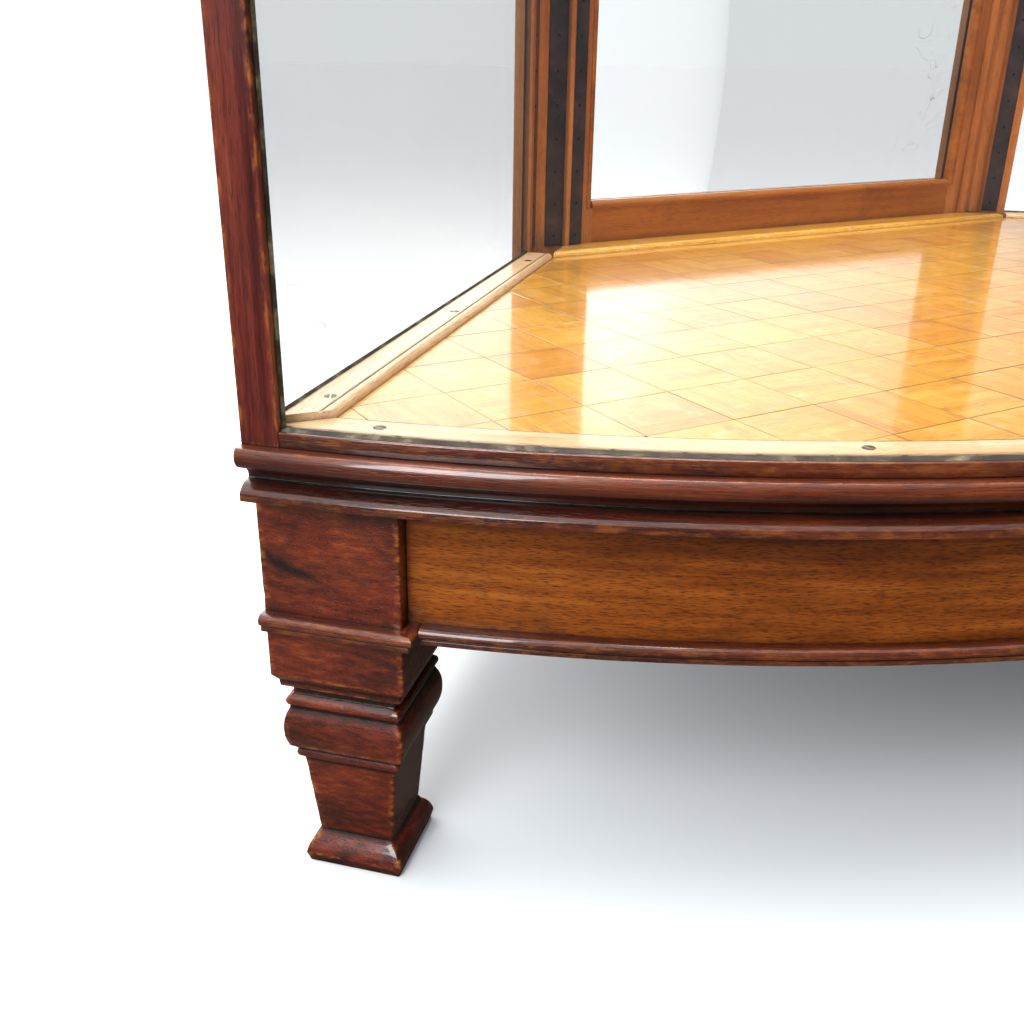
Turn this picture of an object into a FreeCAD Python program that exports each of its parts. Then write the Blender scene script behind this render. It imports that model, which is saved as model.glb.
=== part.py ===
import FreeCAD
import Part
import math
import os

from FreeCAD import Vector

os.makedirs("parts", exist_ok=True)

# Bow-front corner showcase, a quarter-circle cabinet of mahogany and plate glass.
# Units are millimetres, +Z is up, +X is to the right and the bowed front faces -Y.
# The plan is a quarter circle whose apex is cut off by the flat back: the two glazed
# sides lie on lines through the apex, 45 degrees either side of the Y axis.
# Heights named here are measured from the top of the display floor.

# Case
half_chord = 800.0            # middle of the bow's chord to the inner side glass
floor_height = 324.0          # ground to the display floor
case_height = 590.0           # display floor to the top of the case
back_distance = 365.5         # apex to the inner face of the back
back_thickness = 24.0
side_return = 32.0            # back post's face beyond the end of the side glass
base_drop = 42.0              # display floor to the underside of the base frame

# Glass
glass = 6.0
door_glass = 4.0
shelf_glass = 8.0
glass_seat = 6.0              # depth of the groove that the glass stands in
putty = 4.0                   # putty line outside the glass
glass_gap = 0.4

# Posts
post_width = 24.0
post_proud = 13.0             # post's face ahead of the inner face of the bow glass
post_inside = 8.0             # post's overlap across the front, inside the side glass
post_flange = 7.0
shoulder_drop = 9.0           # display floor to the top of the nosing
side_plane = post_width - post_inside

# Base mouldings, measured out from the post's face
nosing_out = 10.0
nosing_height = 14.0
moulding_out = 6.8
moulding_seat = 10.0          # how far the mouldings are let in behind the post's face

# Base frame and floor
rail_ledge = 30.0
ledge_step = 14.0
side_lip_drop = 2.5           # the side rails' lip slopes down outwards from the glass
side_edge_drop = 8.0
board = 14.0
parquet = 8.0
border_width = 22.0
fillet_width = 28.0
back_fillet_width = 40.0
fillet_rise = 5.0
screw_radius = 3.9
screw_shank = 1.8
screw_head = 2.0
screw_proud = 0.2
screw_length = 7.6
screw_slot = 1.1
screw_slot_depth = 0.6
side_screws = 3
border_screws = 3              # on each side of the middle one
screw_margin = 23.4           # front side screw to the front border
screw_back = 48.7             # back side screw to the back post
border_screw_turn = 14.0      # degrees between the border's screws

# Aprons
apron_thickness = 20.0
apron_setback = 9.0           # apron's face behind the leg block's face
apron_top = base_drop
bead_top = 121.0
bead_height = 12.0
bead_out = 9.6
side_apron_setback = 3.0

# Legs
block = 90.0
block_foot = 168.0            # floor to the bottom of the lower block
cushion = 82.8
ankle = 53.0

# Perforated shelf strips
strip_side = 22.0
strip_outer = 22.4
strip_thickness = 1.5
strip_margin = 13.0           # bare post between the corner and the outer strip
strip_hole = 1.8
hole_pitch = 33.2
first_hole = 16.0
strip_top = 540.0

# Door
door_half = 320.0
stile = 29.0
rebate = 8.0
door_rail = 50.0
door_top = 550.0
door_gap = 1.5
stop_gap = 0.6
stop_thickness = 3.0
bead_width = 6.0
bead_proud = 8.0
stop_right_overlap = 4.0

# Hinges
hinge_length = 64.0
hinge_radius = 4.0
pin_radius = 2.0
hinge_run = 0.05              # running clearance of the pin
leaf_width = 22.0
leaf_thickness = 1.6
knuckle_gap = 0.4
hinge_offset = 4.6            # hinge axis behind the door's outer face
hinge_heights = (90.0, 430.0)

# Lock and knob
lock_height = 275.0
lock_width = 18.0
lock_tall = 50.0
lock_thickness = 12.0
bolt_long = 16.0
bolt_thick = 6.0
bolt_tall = 9.0
bolt_travel = 8.0
bolt_clearance = 0.4
bolt_rise = 13.0              # bolt's middle above the key's axis
key_radius = 2.0
key_bow_radius = 7.0
key_bow_thick = 2.4
key_eye_radius = 3.6
key_clearance = 0.5
key_reach = 22.0
knob_reach = 26.0
knob_radius = 11.0
knob_drop = 60.0              # knob below the lock

# Shelf
shelf_height = 310.0
shelf_radius = 720.0
shelf_clearance = 12.0
bracket_reach = 330.0
bracket_thickness = 4.0
bracket_tall = 16.0
rest_gap = 0.3

# Top
top_rail = 30.0
top_groove = 7.0
top_rebate = 8.0
cornice_out = 9.0

# Derived places
diagonal = math.sqrt(0.5)
bow_radius = half_chord / diagonal
face_radius = bow_radius + post_proud
seat_radius = face_radius - moulding_seat
glass_outer = bow_radius + glass
back_outer = back_distance - back_thickness
front_reach = face_radius + nosing_out
apex_y = (front_reach + back_outer - knob_reach) / 2.0
corner_run = back_distance / diagonal       # along the side, apex to the back corner
glass_end = corner_run + side_return        # along the side, apex to the end of the glass
block_face = seat_radius
apron_face = block_face - apron_setback
post_foot = -base_drop
top_underside = case_height - top_rail
reach = 2500.0

along = Vector(-diagonal, -diagonal, 0)     # from the apex down the left side
outward = Vector(-diagonal, diagonal, 0)    # out of the left side


def bow_point(radius, height, angle=0.0):
    turn = math.radians(angle)
    return Vector(radius * math.sin(turn), apex_y - radius * math.cos(turn), height + floor_height)


def side_point(run, out, height):
    spot = along * run + outward * out
    return Vector(spot.x, spot.y + apex_y, height + floor_height)


def plan_point(x, distance, height):
    return Vector(x, apex_y - distance, height + floor_height)


def outline(steps, place):
    # steps holds points, or (middle, end) pairs for round stretches
    edges = []
    last = steps[0]
    for step in steps[1:] + [steps[0]]:
        if isinstance(step[0], tuple):
            middle, end = step
            edges.append(Part.Arc(place(*last), place(*middle), place(*end)).toShape())
            last = end
        else:
            if step != last:
                edges.append(Part.makeLine(place(*last), place(*step)))
            last = step
    return Part.Face(Part.Wire(edges))


def bow(steps, start=-48.0, end=48.0):
    face = outline(steps, lambda radius, height: bow_point(radius, height, start))
    return face.revolve(Vector(0, apex_y, 0), Vector(0, 0, 1), end - start)


def side_bar(steps, run_start, run_end):
    face = outline(steps, lambda out, height: side_point(run_start, out, height))
    return face.extrude(along * (run_end - run_start))


def side_box(run, out, height):
    corners = [(out[0], height[0]), (out[1], height[0]), (out[1], height[1]), (out[0], height[1])]
    return side_bar(corners, run[0], run[1])


def back_bar(steps, x_start, x_end):
    face = outline(steps, lambda distance, height: plan_point(x_start, distance, height))
    return face.extrude(Vector(x_end - x_start, 0, 0))


def column(steps, bottom, top):
    face = outline(steps, lambda x, distance: plan_point(x, distance, bottom))
    return face.extrude(Vector(0, 0, top - bottom))


def plan_box(x, distance, height):
    corners = [(x[0], distance[0]), (x[1], distance[0]), (x[1], distance[1]), (x[0], distance[1])]
    return column(corners, height[0], height[1])


def wedge(out, bottom, top):
    # everything between the two side planes, each moved outwards
    tip = -out / diagonal
    steps = [(0.0, tip), (reach, tip + reach), (-reach, tip + reach)]
    return column(steps, bottom, top)


def sector(radius, out, distance, bottom, top):
    disc = Part.makeCylinder(radius, top - bottom, plan_point(0, 0, bottom))
    half = plan_box((-reach, reach), (distance, reach), (bottom, top))
    return disc.common(wedge(out, bottom, top)).common(half)


def upright(x, distance, bottom, top, radius):
    return Part.makeCylinder(radius, top - bottom, plan_point(x, distance, bottom))


def mirrored(shape):
    return shape.mirror(Vector(0, 0, 0), Vector(1, 0, 0))


def group(shapes):
    return Part.makeCompound(shapes)


def write(name, shape):
    shape.exportStep("parts/" + name + ".step")


def leg_steps(side):
    # half outline of the square leg, from the block's top down to the floor
    half = block / 2.0
    pad = cushion / 2.0
    foot = 35.0
    return [
        (0.0, -base_drop),
        (side * half, -base_drop),
        (side * half, -block_foot),
        (side * (half - 3.5), -173.0),
        (side * (half - 4.0), -177.5),
        (side * (half - 10.0), -180.0),
        (side * (half - 10.0), -185.0),
        (side * (half - 7.5), -187.0),
        ((side * (half - 5.6), -190.5), (side * (half - 7.5), -194.0)),
        (side * (half - 7.5), -196.0),
        (side * (pad - 2.0), -200.0),
        ((side * pad, -210.0), (side * (pad - 2.5), -225.0)),
        (side * (pad - 6.5), -229.0),
        ((side * (pad - 5.5), -232.5), (side * (pad - 8.0), -236.0)),
        (side * (pad - 9.5), -238.0),
        (side * (ankle / 2.0), -300.0),
        (side * (ankle / 2.0 + 2.0), -304.0),
        ((side * (foot - 3.0), -308.5), (side * foot, -317.0)),
        (side * (foot - 2.0), -floor_height),
        (0.0, -floor_height),
    ]


def square_turned(steps, half):
    # a square piece about the origin: its outlines meet in mitres at the corners
    def facing(place, depth):
        halves = [outline(steps(side), place).extrude(depth) for side in (-1, 1)]
        return halves[0].fuse(halves[1])
    front = facing(lambda across, height: Vector(across, -half, height), Vector(0, 2 * half, 0))
    flank = facing(lambda across, height: Vector(-half, across, height), Vector(2 * half, 0, 0))
    piece = front.common(flank).removeSplitter()
    piece.translate(Vector(0, 0, floor_height))
    return piece


def placed(piece, x, y, turn):
    spot = piece.copy()
    spot.rotate(Vector(0, 0, 0), Vector(0, 0, 1), turn)
    spot.translate(Vector(x, y, 0))
    return spot


# Legs: the front pair stand square to the sides, the others square to the back
front_leg_run = block_face - block / 2.0
front_leg_spot = side_point(front_leg_run, side_plane - block / 2.0, 0)
leg = square_turned(leg_steps, block / 2.0)
leg_front_left = placed(leg, front_leg_spot.x, front_leg_spot.y, -45.0)
back_leg_x = back_outer + side_plane / diagonal - block / 2.0
leg_back_left = placed(leg, -back_leg_x, apex_y - back_outer - block / 2.0, 0.0)
centre_leg_distance = block_face - block / 2.0
leg_front_centre = placed(leg, 0.0, apex_y - centre_leg_distance, 0.0)
write("leg_front_left", leg_front_left)
write("leg_front_right", mirrored(leg_front_left))
write("leg_front_centre", leg_front_centre)
write("leg_back_left", leg_back_left)
write("leg_back_right", mirrored(leg_back_left))

# Aprons between the leg blocks
bead_bottom = bead_top + bead_height
apron_steps = [
    (apron_face - apron_thickness, -bead_bottom),
    (apron_face, -bead_bottom),
    (apron_face, -apron_top),
    (apron_face - apron_thickness, -apron_top),
]
apron_left = bow(apron_steps, -48.0, 0.0)
apron_left = apron_left.common(wedge(side_plane - block, -floor_height, 0.0))
apron_left = apron_left.cut(leg_front_centre)
write("apron_front_left", apron_left)
write("apron_front_right", mirrored(apron_left))

side_apron_out = side_plane - side_apron_setback
apron_side = side_box(
    (corner_run - 15.0, block_face - block),
    (side_apron_out - apron_thickness, side_apron_out),
    (-bead_bottom, -apron_top),
)
apron_side = apron_side.cut(leg_back_left)
write("apron_side_left", apron_side)
write("apron_side_right", mirrored(apron_side))
back_leg_inner = back_leg_x - block / 2.0
apron_back = plan_box(
    (-back_leg_inner, back_leg_inner), (back_outer, back_outer + apron_thickness), (-bead_bottom, -apron_top)
)
write("apron_back", apron_back)


def bead_steps(face):
    # a rounded bead over a thin fillet, standing out from the given face
    return [
        (face, -bead_top),
        (face + bead_out - 4.0, -bead_top),
        ((face + bead_out, -bead_top - 4.0), (face + bead_out - 4.0, -bead_top - 8.0)),
        (face + bead_out - 3.0, -bead_top - 8.8),
        (face + bead_out - 3.0, -bead_bottom),
        (face, -bead_bottom),
    ]


bead_left = bow(bead_steps(apron_face), -48.0, 0.0)
bead_left = bead_left.common(wedge(side_plane - block - bead_out, -floor_height, 0.0))
bead_left = bead_left.cut(plan_box((-block / 2.0 - bead_out, 1.0), (0.0, reach), (-floor_height, 0.0)))
write("apron_bead_front", group([bead_left, mirrored(bead_left)]))


def collar_steps(side):
    points = []
    for step in bead_steps(block / 2.0):
        if isinstance(step[0], tuple):
            points.append(tuple((side * x, z) for x, z in step))
        else:
            points.append((side * step[0], step[1]))
    return [(0.0, -bead_top)] + points + [(0.0, -bead_bottom)]


def block_bead(left_end):
    # a bead round a leg's block, mitred at the corners, back as far as the apron's face
    half = block / 2.0
    ring = square_turned(collar_steps, half + bead_out)
    core = Part.makeBox(block, block, floor_height, Vector(-half, -half, 0))
    depth = bead_out + apron_setback + apron_thickness / 2.0
    kept = Part.makeBox(reach, depth, floor_height, Vector(left_end, -half - bead_out, 0))
    return ring.cut(core).common(kept)


# Beads that wrap the blocks of the front legs
corner_bead = placed(block_bead(-block / 2.0), front_leg_spot.x, front_leg_spot.y, -45.0)
corner_bead = corner_bead.cut(apron_left)
centre_bead = placed(block_bead(-reach / 2.0), 0.0, apex_y - centre_leg_distance, 0.0)
centre_bead = centre_bead.cut(apron_left).cut(mirrored(apron_left))
write("leg_block_beads", group([corner_bead, mirrored(corner_bead), centre_bead]))

# Posts: the front pair are rebated for the glass, the back pair carry door and strips
post_depth = post_width
post_front_left = side_box(
    (face_radius - post_depth, face_radius), (-post_inside, side_plane), (post_foot, top_underside)
)
glass_corner = side_box(
    (0.0, glass_outer + 1.0), (-post_inside - 1.0, side_plane - post_flange), (-glass_seat, case_height)
)
moulding_recess = side_box((seat_radius, reach), (-block, block), (post_foot - 1.0, -shoulder_drop))
post_front_left = post_front_left.cut(glass_corner).cut(moulding_recess)
write("post_front_left", post_front_left)
write("post_front_right", mirrored(post_front_left))

jamb = door_half + door_gap
back_post_top = door_top + 2.0
lip = 3.0
lip_run = 10.0
glass_bite = 7.0
outer_corner = back_outer + side_plane / diagonal


def side_plan(run, out):
    # x, and distance in front of the apex, of a point beside the left side
    spot = along * run + outward * out
    return (spot.x, -spot.y)


post_plan = [
    side_plan(glass_end, side_plane),
    side_plan(glass_end, -lip),
    side_plan(glass_end - lip_run, -lip),
    side_plan(glass_end - lip_run, 0.0),
    (-back_distance, back_distance),
    (-jamb, back_distance),
    (-jamb, back_outer),
    (-outer_corner, back_outer),
]
post_back_left = column(post_plan, post_foot, back_post_top)
back_groove = side_box(
    (glass_end - glass_bite, glass_end + 1.0), (0.0, glass + glass_gap), (-glass_seat, back_post_top)
)
ledge_space = side_box((glass_end - lip_run - 1.0, reach), (-block, 0.0), (post_foot, 0.0))
post_back_left = post_back_left.cut(back_groove).cut(ledge_space)
write("post_back_right", mirrored(post_back_left))
bolt_z = lock_height + bolt_rise
bolt_middle = back_outer + lock_thickness / 2.0
mortise = plan_box(
    (-jamb - bolt_travel, -jamb + 1.0),
    (bolt_middle - bolt_thick / 2.0 - 1.0, bolt_middle + bolt_thick / 2.0 + 1.0),
    (bolt_z - bolt_tall / 2.0 - 1.0, bolt_z + bolt_tall / 2.0 + 1.0),
)
write("post_back_left", post_back_left.cut(mortise))


# Bottom rails, each with a ledge for the floor and a groove for the glass
def rail_steps(inner, face, seat, groove_out, edge_drop=0.0, lip_drop=0.0):
    # lip_drop and edge_drop lower the lip outside the glass, at the glass and at the face
    return [
        (inner - rail_ledge, -base_drop),
        (seat, -base_drop),
        (seat, -shoulder_drop),
        (face, -shoulder_drop),
        (face, -edge_drop),
        (groove_out, -lip_drop),
        (groove_out, -glass_seat),
        (inner, -glass_seat),
        (inner, -parquet),
        (inner - ledge_step, -parquet),
        (inner - ledge_step, -parquet - board),
        (inner - rail_ledge, -parquet - board),
    ]


post_wedge = wedge(-post_inside, post_foot - 1.0, case_height + 1.0)
rail_front = bow(rail_steps(bow_radius, face_radius, seat_radius, glass_outer + putty)).common(post_wedge)
write("bottom_rail_front", rail_front)
side_steps = rail_steps(0.0, side_plane, side_plane, side_plane - post_flange, side_edge_drop, side_lip_drop)
rail_left = side_bar(side_steps, glass_end, face_radius - post_depth).cut(rail_front)
write("bottom_rail_left", rail_left)
write("bottom_rail_right", mirrored(rail_left))
sill = 2.0
sill_steps = [
    (back_outer, -base_drop),
    (back_distance + rail_ledge, -base_drop),
    (back_distance + rail_ledge, -parquet - board),
    (back_distance + ledge_step, -parquet - board),
    (back_distance + ledge_step, -parquet),
    (back_distance, -parquet),
    (back_distance, -sill),
    (back_outer, -sill),
]
write("bottom_rail_back", back_bar(sill_steps, -jamb, jamb))

# Base mouldings across the front, cut off flush with the side planes
front_wedge = wedge(side_plane, -floor_height, case_height)
nosing_bottom = shoulder_drop + nosing_height
nosing_steps = [
    (seat_radius, -nosing_bottom),
    (face_radius + 2.0, -nosing_bottom),
    (face_radius + 6.5, -nosing_bottom + 2.0),
    ((face_radius + nosing_out, -shoulder_drop - 6.0), (face_radius + 7.5, -shoulder_drop)),
    (seat_radius, -shoulder_drop),
]
front_posts = group([post_front_left, mirrored(post_front_left)])
write("base_nosing_front", bow(nosing_steps).common(front_wedge).cut(front_posts))
moulding_steps = [
    (seat_radius, -base_drop),
    (face_radius + moulding_out, -base_drop),
    (face_radius + moulding_out, -base_drop + 5.0),
    ((face_radius + 3.0, -base_drop + 8.5), (face_radius - 4.5, -nosing_bottom - 8.5)),
    (face_radius - 5.5, -nosing_bottom - 7.5),
    ((face_radius - 4.0, -nosing_bottom - 3.0), (face_radius + 1.5, -nosing_bottom)),
    (seat_radius, -nosing_bottom),
]
write("base_moulding_front", bow(moulding_steps).common(front_wedge).cut(front_posts))

# Floor
floor_out = -ledge_step - glass_gap
board_back = back_distance + ledge_step + glass_gap
board_radius = bow_radius - ledge_step - glass_gap
write("carcase_bottom", sector(board_radius, floor_out, board_back, -parquet - board, -parquet))
border_inner = bow_radius - border_width
tiles_back = back_distance + back_fillet_width
write("parquet_floor", sector(border_inner, -fillet_width, tiles_back, -parquet, 0.0))
border_steps = [(border_inner, -parquet), (bow_radius, -parquet), (bow_radius, 0.0), (border_inner, 0.0)]
border = bow(border_steps).common(wedge(-glass_gap, -parquet - 1.0, 1.0))
nose = fillet_rise - 1.0
side_fillet_steps = [
    (-fillet_width, -parquet),
    (-glass_gap, -parquet),
    (-glass_gap, fillet_rise),
    (-fillet_width + 9.0, fillet_rise),
    (-fillet_width + 8.0, nose),
    ((-fillet_width + 4.0, fillet_rise), (-fillet_width, 0.0)),
]
fillet_plan = [
    side_plan(0.0, 0.0),
    side_plan(bow_radius - glass_gap, 0.0),
    side_plan(border_inner - glass_gap, -fillet_width),
    side_plan(0.0, -fillet_width),
]
slanted_end = column(fillet_plan, -parquet, fillet_rise)
fillet_left = side_bar(side_fillet_steps, glass_end, bow_radius).common(slanted_end).cut(front_posts)
back_fillet_steps = [
    (back_distance, -parquet),
    (tiles_back, -parquet),
    (tiles_back, 0.0),
    ((tiles_back - 3.0, nose), (tiles_back - 10.0, fillet_rise)),
    (back_distance, fillet_rise),
]
inside_fillets = wedge(-fillet_width, -parquet - 1.0, case_height)
write("floor_fillet_back", back_bar(back_fillet_steps, -back_distance, back_distance).common(inside_fillets))


def slotted_screw(spot, turn):
    head = Part.makeCylinder(screw_radius, screw_head, Vector(spot.x, spot.y, spot.z + screw_proud - screw_head))
    shank_low = Vector(spot.x, spot.y, spot.z - screw_length)
    shank = Part.makeCylinder(screw_shank, screw_length - screw_head / 2.0, shank_low)
    slot_corner = Vector(-1.5 * screw_radius, -screw_slot / 2.0, 0)
    slot = Part.makeBox(3 * screw_radius, screw_slot, screw_head, slot_corner)
    slot.rotate(Vector(0, 0, 0), Vector(0, 0, 1), turn)
    slot.translate(Vector(spot.x, spot.y, spot.z + screw_proud - screw_slot_depth))
    return head.fuse(shank).cut(slot)


screws = []
front_screw_run = border_inner - screw_margin
back_screw_run = glass_end + screw_back
for index in range(side_screws):
    run = front_screw_run + (back_screw_run - front_screw_run) * index / (side_screws - 1)
    spot = side_point(run, -fillet_width / 2.0, fillet_rise)
    screws.append(slotted_screw(spot, 30.0 + 50.0 * index))
    screws.append(slotted_screw(Vector(-spot.x, spot.y, spot.z), 75.0 * index))
for index in range(-border_screws, border_screws + 1):
    spot = bow_point(bow_radius - border_width / 2.0, 0.0, border_screw_turn * index)
    screws.append(slotted_screw(spot, 40.0 * index))
write("fillet_screws", group(screws))
border = border.cut(fillet_left).cut(mirrored(fillet_left))
write("floor_border_front", border.cut(group(screws)).cut(front_posts))
write("floor_fillet_left", fillet_left.cut(group(screws)))
write("floor_fillet_right", mirrored(fillet_left).cut(group(screws)))

# Fixed glass and its putty
pane_wedge = wedge(glass - glass_gap, -floor_height, case_height)
pane_top = top_underside + top_groove - glass_gap
bow_pane = [
    (bow_radius, -glass_seat), (glass_outer, -glass_seat), (glass_outer, pane_top), (bow_radius, pane_top)
]
write("front_glass", bow(bow_pane).common(pane_wedge))
side_pane = side_box((glass_end - glass_bite + glass_gap, bow_radius), (0.0, glass), (-glass_seat, pane_top))
inside_front_pane = Part.makeCylinder(bow_radius - glass_gap, case_height, plan_point(0, 0, -glass_seat))
side_pane = side_pane.common(inside_front_pane)
write("side_glass_left", side_pane)
write("side_glass_right", mirrored(side_pane))
putty_steps = [
    (glass_outer, -glass_seat),
    (glass_outer + putty, -glass_seat),
    (glass_outer + putty, 0.0),
    (glass_outer, 1.5),
]
write("front_putty", bow(putty_steps).common(wedge(-post_inside, -glass_seat - 1.0, case_height)))

# Door: stiles and rails round one pane, held by beads on the inner face
door_inner = back_distance
glass_face = back_outer + 10.0
sight = door_half - stile


def frame_box(x, height, depth):
    return plan_box(x, (back_outer, back_outer + depth), height)


slot_side = sight + rebate
slot_low = door_rail - rebate
slot_high = door_top - door_rail + rebate
glass_slot = plan_box((-slot_side, slot_side), (glass_face, reach), (slot_low, slot_high))
knob_z = lock_height - knob_drop
lock_x = -door_half + lock_width / 2.0 + 1.0
lock_pocket = plan_box(
    (lock_x - lock_width / 2.0, lock_x + lock_width / 2.0),
    (back_outer - 1.0, back_outer + lock_thickness),
    (lock_height - lock_tall / 2.0, lock_height + lock_tall / 2.0),
)
bolt_space = plan_box(
    (-door_half - 1.0, lock_x),
    (bolt_middle - bolt_thick / 2.0 - bolt_clearance, bolt_middle + bolt_thick / 2.0 + bolt_clearance),
    (bolt_z - bolt_tall / 2.0 - bolt_clearance, bolt_z + bolt_tall / 2.0 + bolt_clearance),
)
knob_stem = 4.0
toward_back = Vector(0, 1, 0)
knob_hole = Part.makeCylinder(knob_stem, back_thickness, plan_point(lock_x, door_inner, knob_z), toward_back)
stile_right = frame_box((sight, door_half), (0.0, door_top), back_thickness).cut(glass_slot)
stile_left = mirrored(stile_right).cut(lock_pocket).cut(bolt_space).cut(knob_hole)
write("door_stile_left", stile_left)
write("door_stile_right", stile_right)
write("door_rail_bottom", frame_box((-sight, sight), (0.0, door_rail), back_thickness).cut(glass_slot))
door_rail_upper = frame_box((-sight, sight), (door_top - door_rail, door_top), back_thickness)
write("door_rail_top", door_rail_upper.cut(glass_slot))
pane_x = slot_side - glass_gap
pane_low = slot_low + glass_gap
pane_high = slot_high - glass_gap
pane = plan_box((-pane_x, pane_x), (glass_face, glass_face + door_glass), (pane_low, pane_high))
write("door_glass", pane)
bead_back = glass_face + door_glass
bead_front = door_inner + 1.0


def bead_outline(edge, step):
    # quarter-round bead, from its outer edge towards the middle of the pane
    return [
        (edge, bead_back),
        (edge, bead_front),
        (edge + step * 3.0, bead_front),
        ((edge + step * 6.5, bead_front - 2.5), (edge + step * rebate, bead_front - 6.0)),
        (edge + step * rebate, bead_back),
    ]




def tall_bead(side):
    face = outline(bead_outline(side * slot_side, -side), lambda x, distance: plan_point(x, distance, slot_low))
    return face.extrude(Vector(0, 0, slot_high - slot_low))


tall_beads = [tall_bead(side) for side in (-1, 1)]
wide_beads = [
    outline(bead_outline(edge, step), lambda height, distance: plan_point(-sight, distance, height))
    .extrude(Vector(2 * sight, 0, 0))
    for edge, step in ((slot_low, 1), (slot_high, -1))
]
write("door_glazing_beads", group(tall_beads + wide_beads))

# Door stops: the left one carries a strip beside a bead, the right one is a double bead
stop_top = back_post_top
stop_left_edge = -door_half + 12.0
stop_face = back_distance + stop_gap + stop_thickness
strip_start = -back_distance + strip_margin
bead_start = strip_start + strip_outer
bead_end = bead_start + bead_width
bead_shoulder = back_distance + bead_proud - 2.0
stop_left_plan = [
    (bead_start, back_distance),
    (-jamb, back_distance),
    (-jamb, back_distance + stop_gap),
    (stop_left_edge, back_distance + stop_gap),
    (stop_left_edge, stop_face),
    (bead_end, stop_face),
    (bead_end, bead_shoulder),
    ((bead_start + bead_width / 2.0, back_distance + bead_proud), (bead_start, bead_shoulder)),
]
write("door_stop_left", column(stop_left_plan, fillet_rise, stop_top))
double_bead = 16.0
stop_start = door_half - stop_right_overlap
first_end = stop_start + double_bead
second_start = first_end + 9.0
second_end = second_start + double_bead
crown = back_distance + 6.0
stop_right_plan = [
    (stop_start, back_distance + stop_gap),
    (stop_start, crown - 3.0),
    ((stop_start + double_bead / 2.0, crown), (first_end, crown - 3.0)),
    (first_end + 1.0, back_distance + 1.5),
    (second_start - 1.0, back_distance + 1.5),
    (second_start, crown - 3.0),
    ((second_start + double_bead / 2.0, crown), (second_end, crown - 3.0)),
    (second_end, back_distance),
    (jamb, back_distance),
    (jamb, back_distance + stop_gap),
]
write("door_stop_right", column(stop_right_plan, fillet_rise, stop_top))

# Perforated strips for the shelf brackets
strip_bottom = fillet_rise + 0.5
hole_count = int((strip_top - first_hole) / hole_pitch)


def perforate(strip, spot, direction):
    holes = []
    for index in range(hole_count):
        z = first_hole + index * hole_pitch
        centre = Vector(spot.x, spot.y, z + floor_height)
        centre = centre - direction * (strip_thickness + 1.0)
        holes.append(Part.makeCylinder(strip_hole, 2.0 * (strip_thickness + 1.0), centre, direction))
    return strip.cut(group(holes))


side_strip_end = glass_end - lip_run - glass_gap
side_strip = side_box(
    (side_strip_end - strip_side + 2.5, side_strip_end), (-strip_thickness, 0.0), (strip_bottom, strip_top)
)
side_strip_run = side_strip_end - strip_side / 2.0 + 1.2
side_strip = perforate(side_strip, side_point(side_strip_run, 0.0, 0.0), outward)
write("shelf_strip_left_side", side_strip)
write("shelf_strip_right_side", mirrored(side_strip))
outer_depth = (back_distance, back_distance + strip_thickness)
outer_strip = plan_box((strip_start, bead_start - glass_gap), outer_depth, (strip_bottom, strip_top))
outer_middle = plan_point(strip_start + strip_outer / 2.0, back_distance, 0.0)
write("shelf_strip_left_outer", perforate(outer_strip, outer_middle, toward_back))
inner_depth = (stop_face, stop_face + strip_thickness)
inner_strip = plan_box((bead_end + glass_gap, stop_left_edge), inner_depth, (strip_bottom, strip_top))
inner_middle = plan_point((bead_end + stop_left_edge) / 2.0, stop_face, 0.0)
write("shelf_strip_left_inner", perforate(inner_strip, inner_middle, toward_back))

# Top frame, rebated for the top glass
top_rebate_floor = case_height - top_rebate


def top_steps(inner, face, groove_out):
    return [
        (inner - ledge_step, top_underside),
        (inner, top_underside),
        (inner, top_underside + top_groove),
        (groove_out, top_underside + top_groove),
        (groove_out, top_underside),
        (face, top_underside),
        (face, case_height),
        (inner + glass, case_height),
        (inner + glass, top_rebate_floor),
        (inner - ledge_step, top_rebate_floor),
    ]


top_front = bow(top_steps(bow_radius, face_radius, glass_outer + 1.0)).common(front_wedge)
groove_height = (top_underside - 1.0, top_underside + top_groove)
side_groove = side_box((glass_end, glass_outer), (0.0, glass + 1.0), groove_height)
top_front = top_front.cut(side_groove).cut(mirrored(side_groove))
write("top_rail_front", top_front)
top_left = side_bar(top_steps(0.0, side_plane, glass + 1.0), corner_run - 40.0, face_radius)
over_door = plan_box((-reach, reach), (back_distance, reach), (back_post_top, case_height + 1.0))
inside_bow = Part.makeCylinder(bow_radius - ledge_step, case_height, plan_point(0, 0, 0.0))
top_left = top_left.common(over_door).common(inside_bow)
write("top_rail_left", top_left)
write("top_rail_right", mirrored(top_left))
top_back_steps = [
    (back_outer, back_post_top),
    (back_distance, back_post_top),
    (back_distance, top_rebate_floor),
    (back_outer + top_rebate, top_rebate_floor),
    (back_outer + top_rebate, case_height),
    (back_outer, case_height),
]
write("top_rail_back", back_bar(top_back_steps, -reach, reach).common(front_wedge))
top_pane_back = back_outer + top_rebate + glass_gap
top_pane_face = case_height - 1.0
top_pane = sector(glass_outer - glass_gap, glass - glass_gap, top_pane_back, top_rebate_floor, top_pane_face)
write("top_glass", top_pane)
cornice_steps = [
    (face_radius, case_height - 20.0),
    (face_radius + 2.0, case_height - 20.0),
    ((face_radius + 4.0, case_height - 14.0), (face_radius + cornice_out - 1.0, case_height - 11.0)),
    (face_radius + cornice_out, case_height - 11.0),
    ((face_radius + cornice_out + 0.9, case_height - 7.0), (face_radius + cornice_out, case_height - 3.0)),
    (face_radius + cornice_out - 3.0, case_height),
    (face_radius, case_height),
]
write("top_moulding_front", bow(cornice_steps).common(front_wedge))

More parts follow.
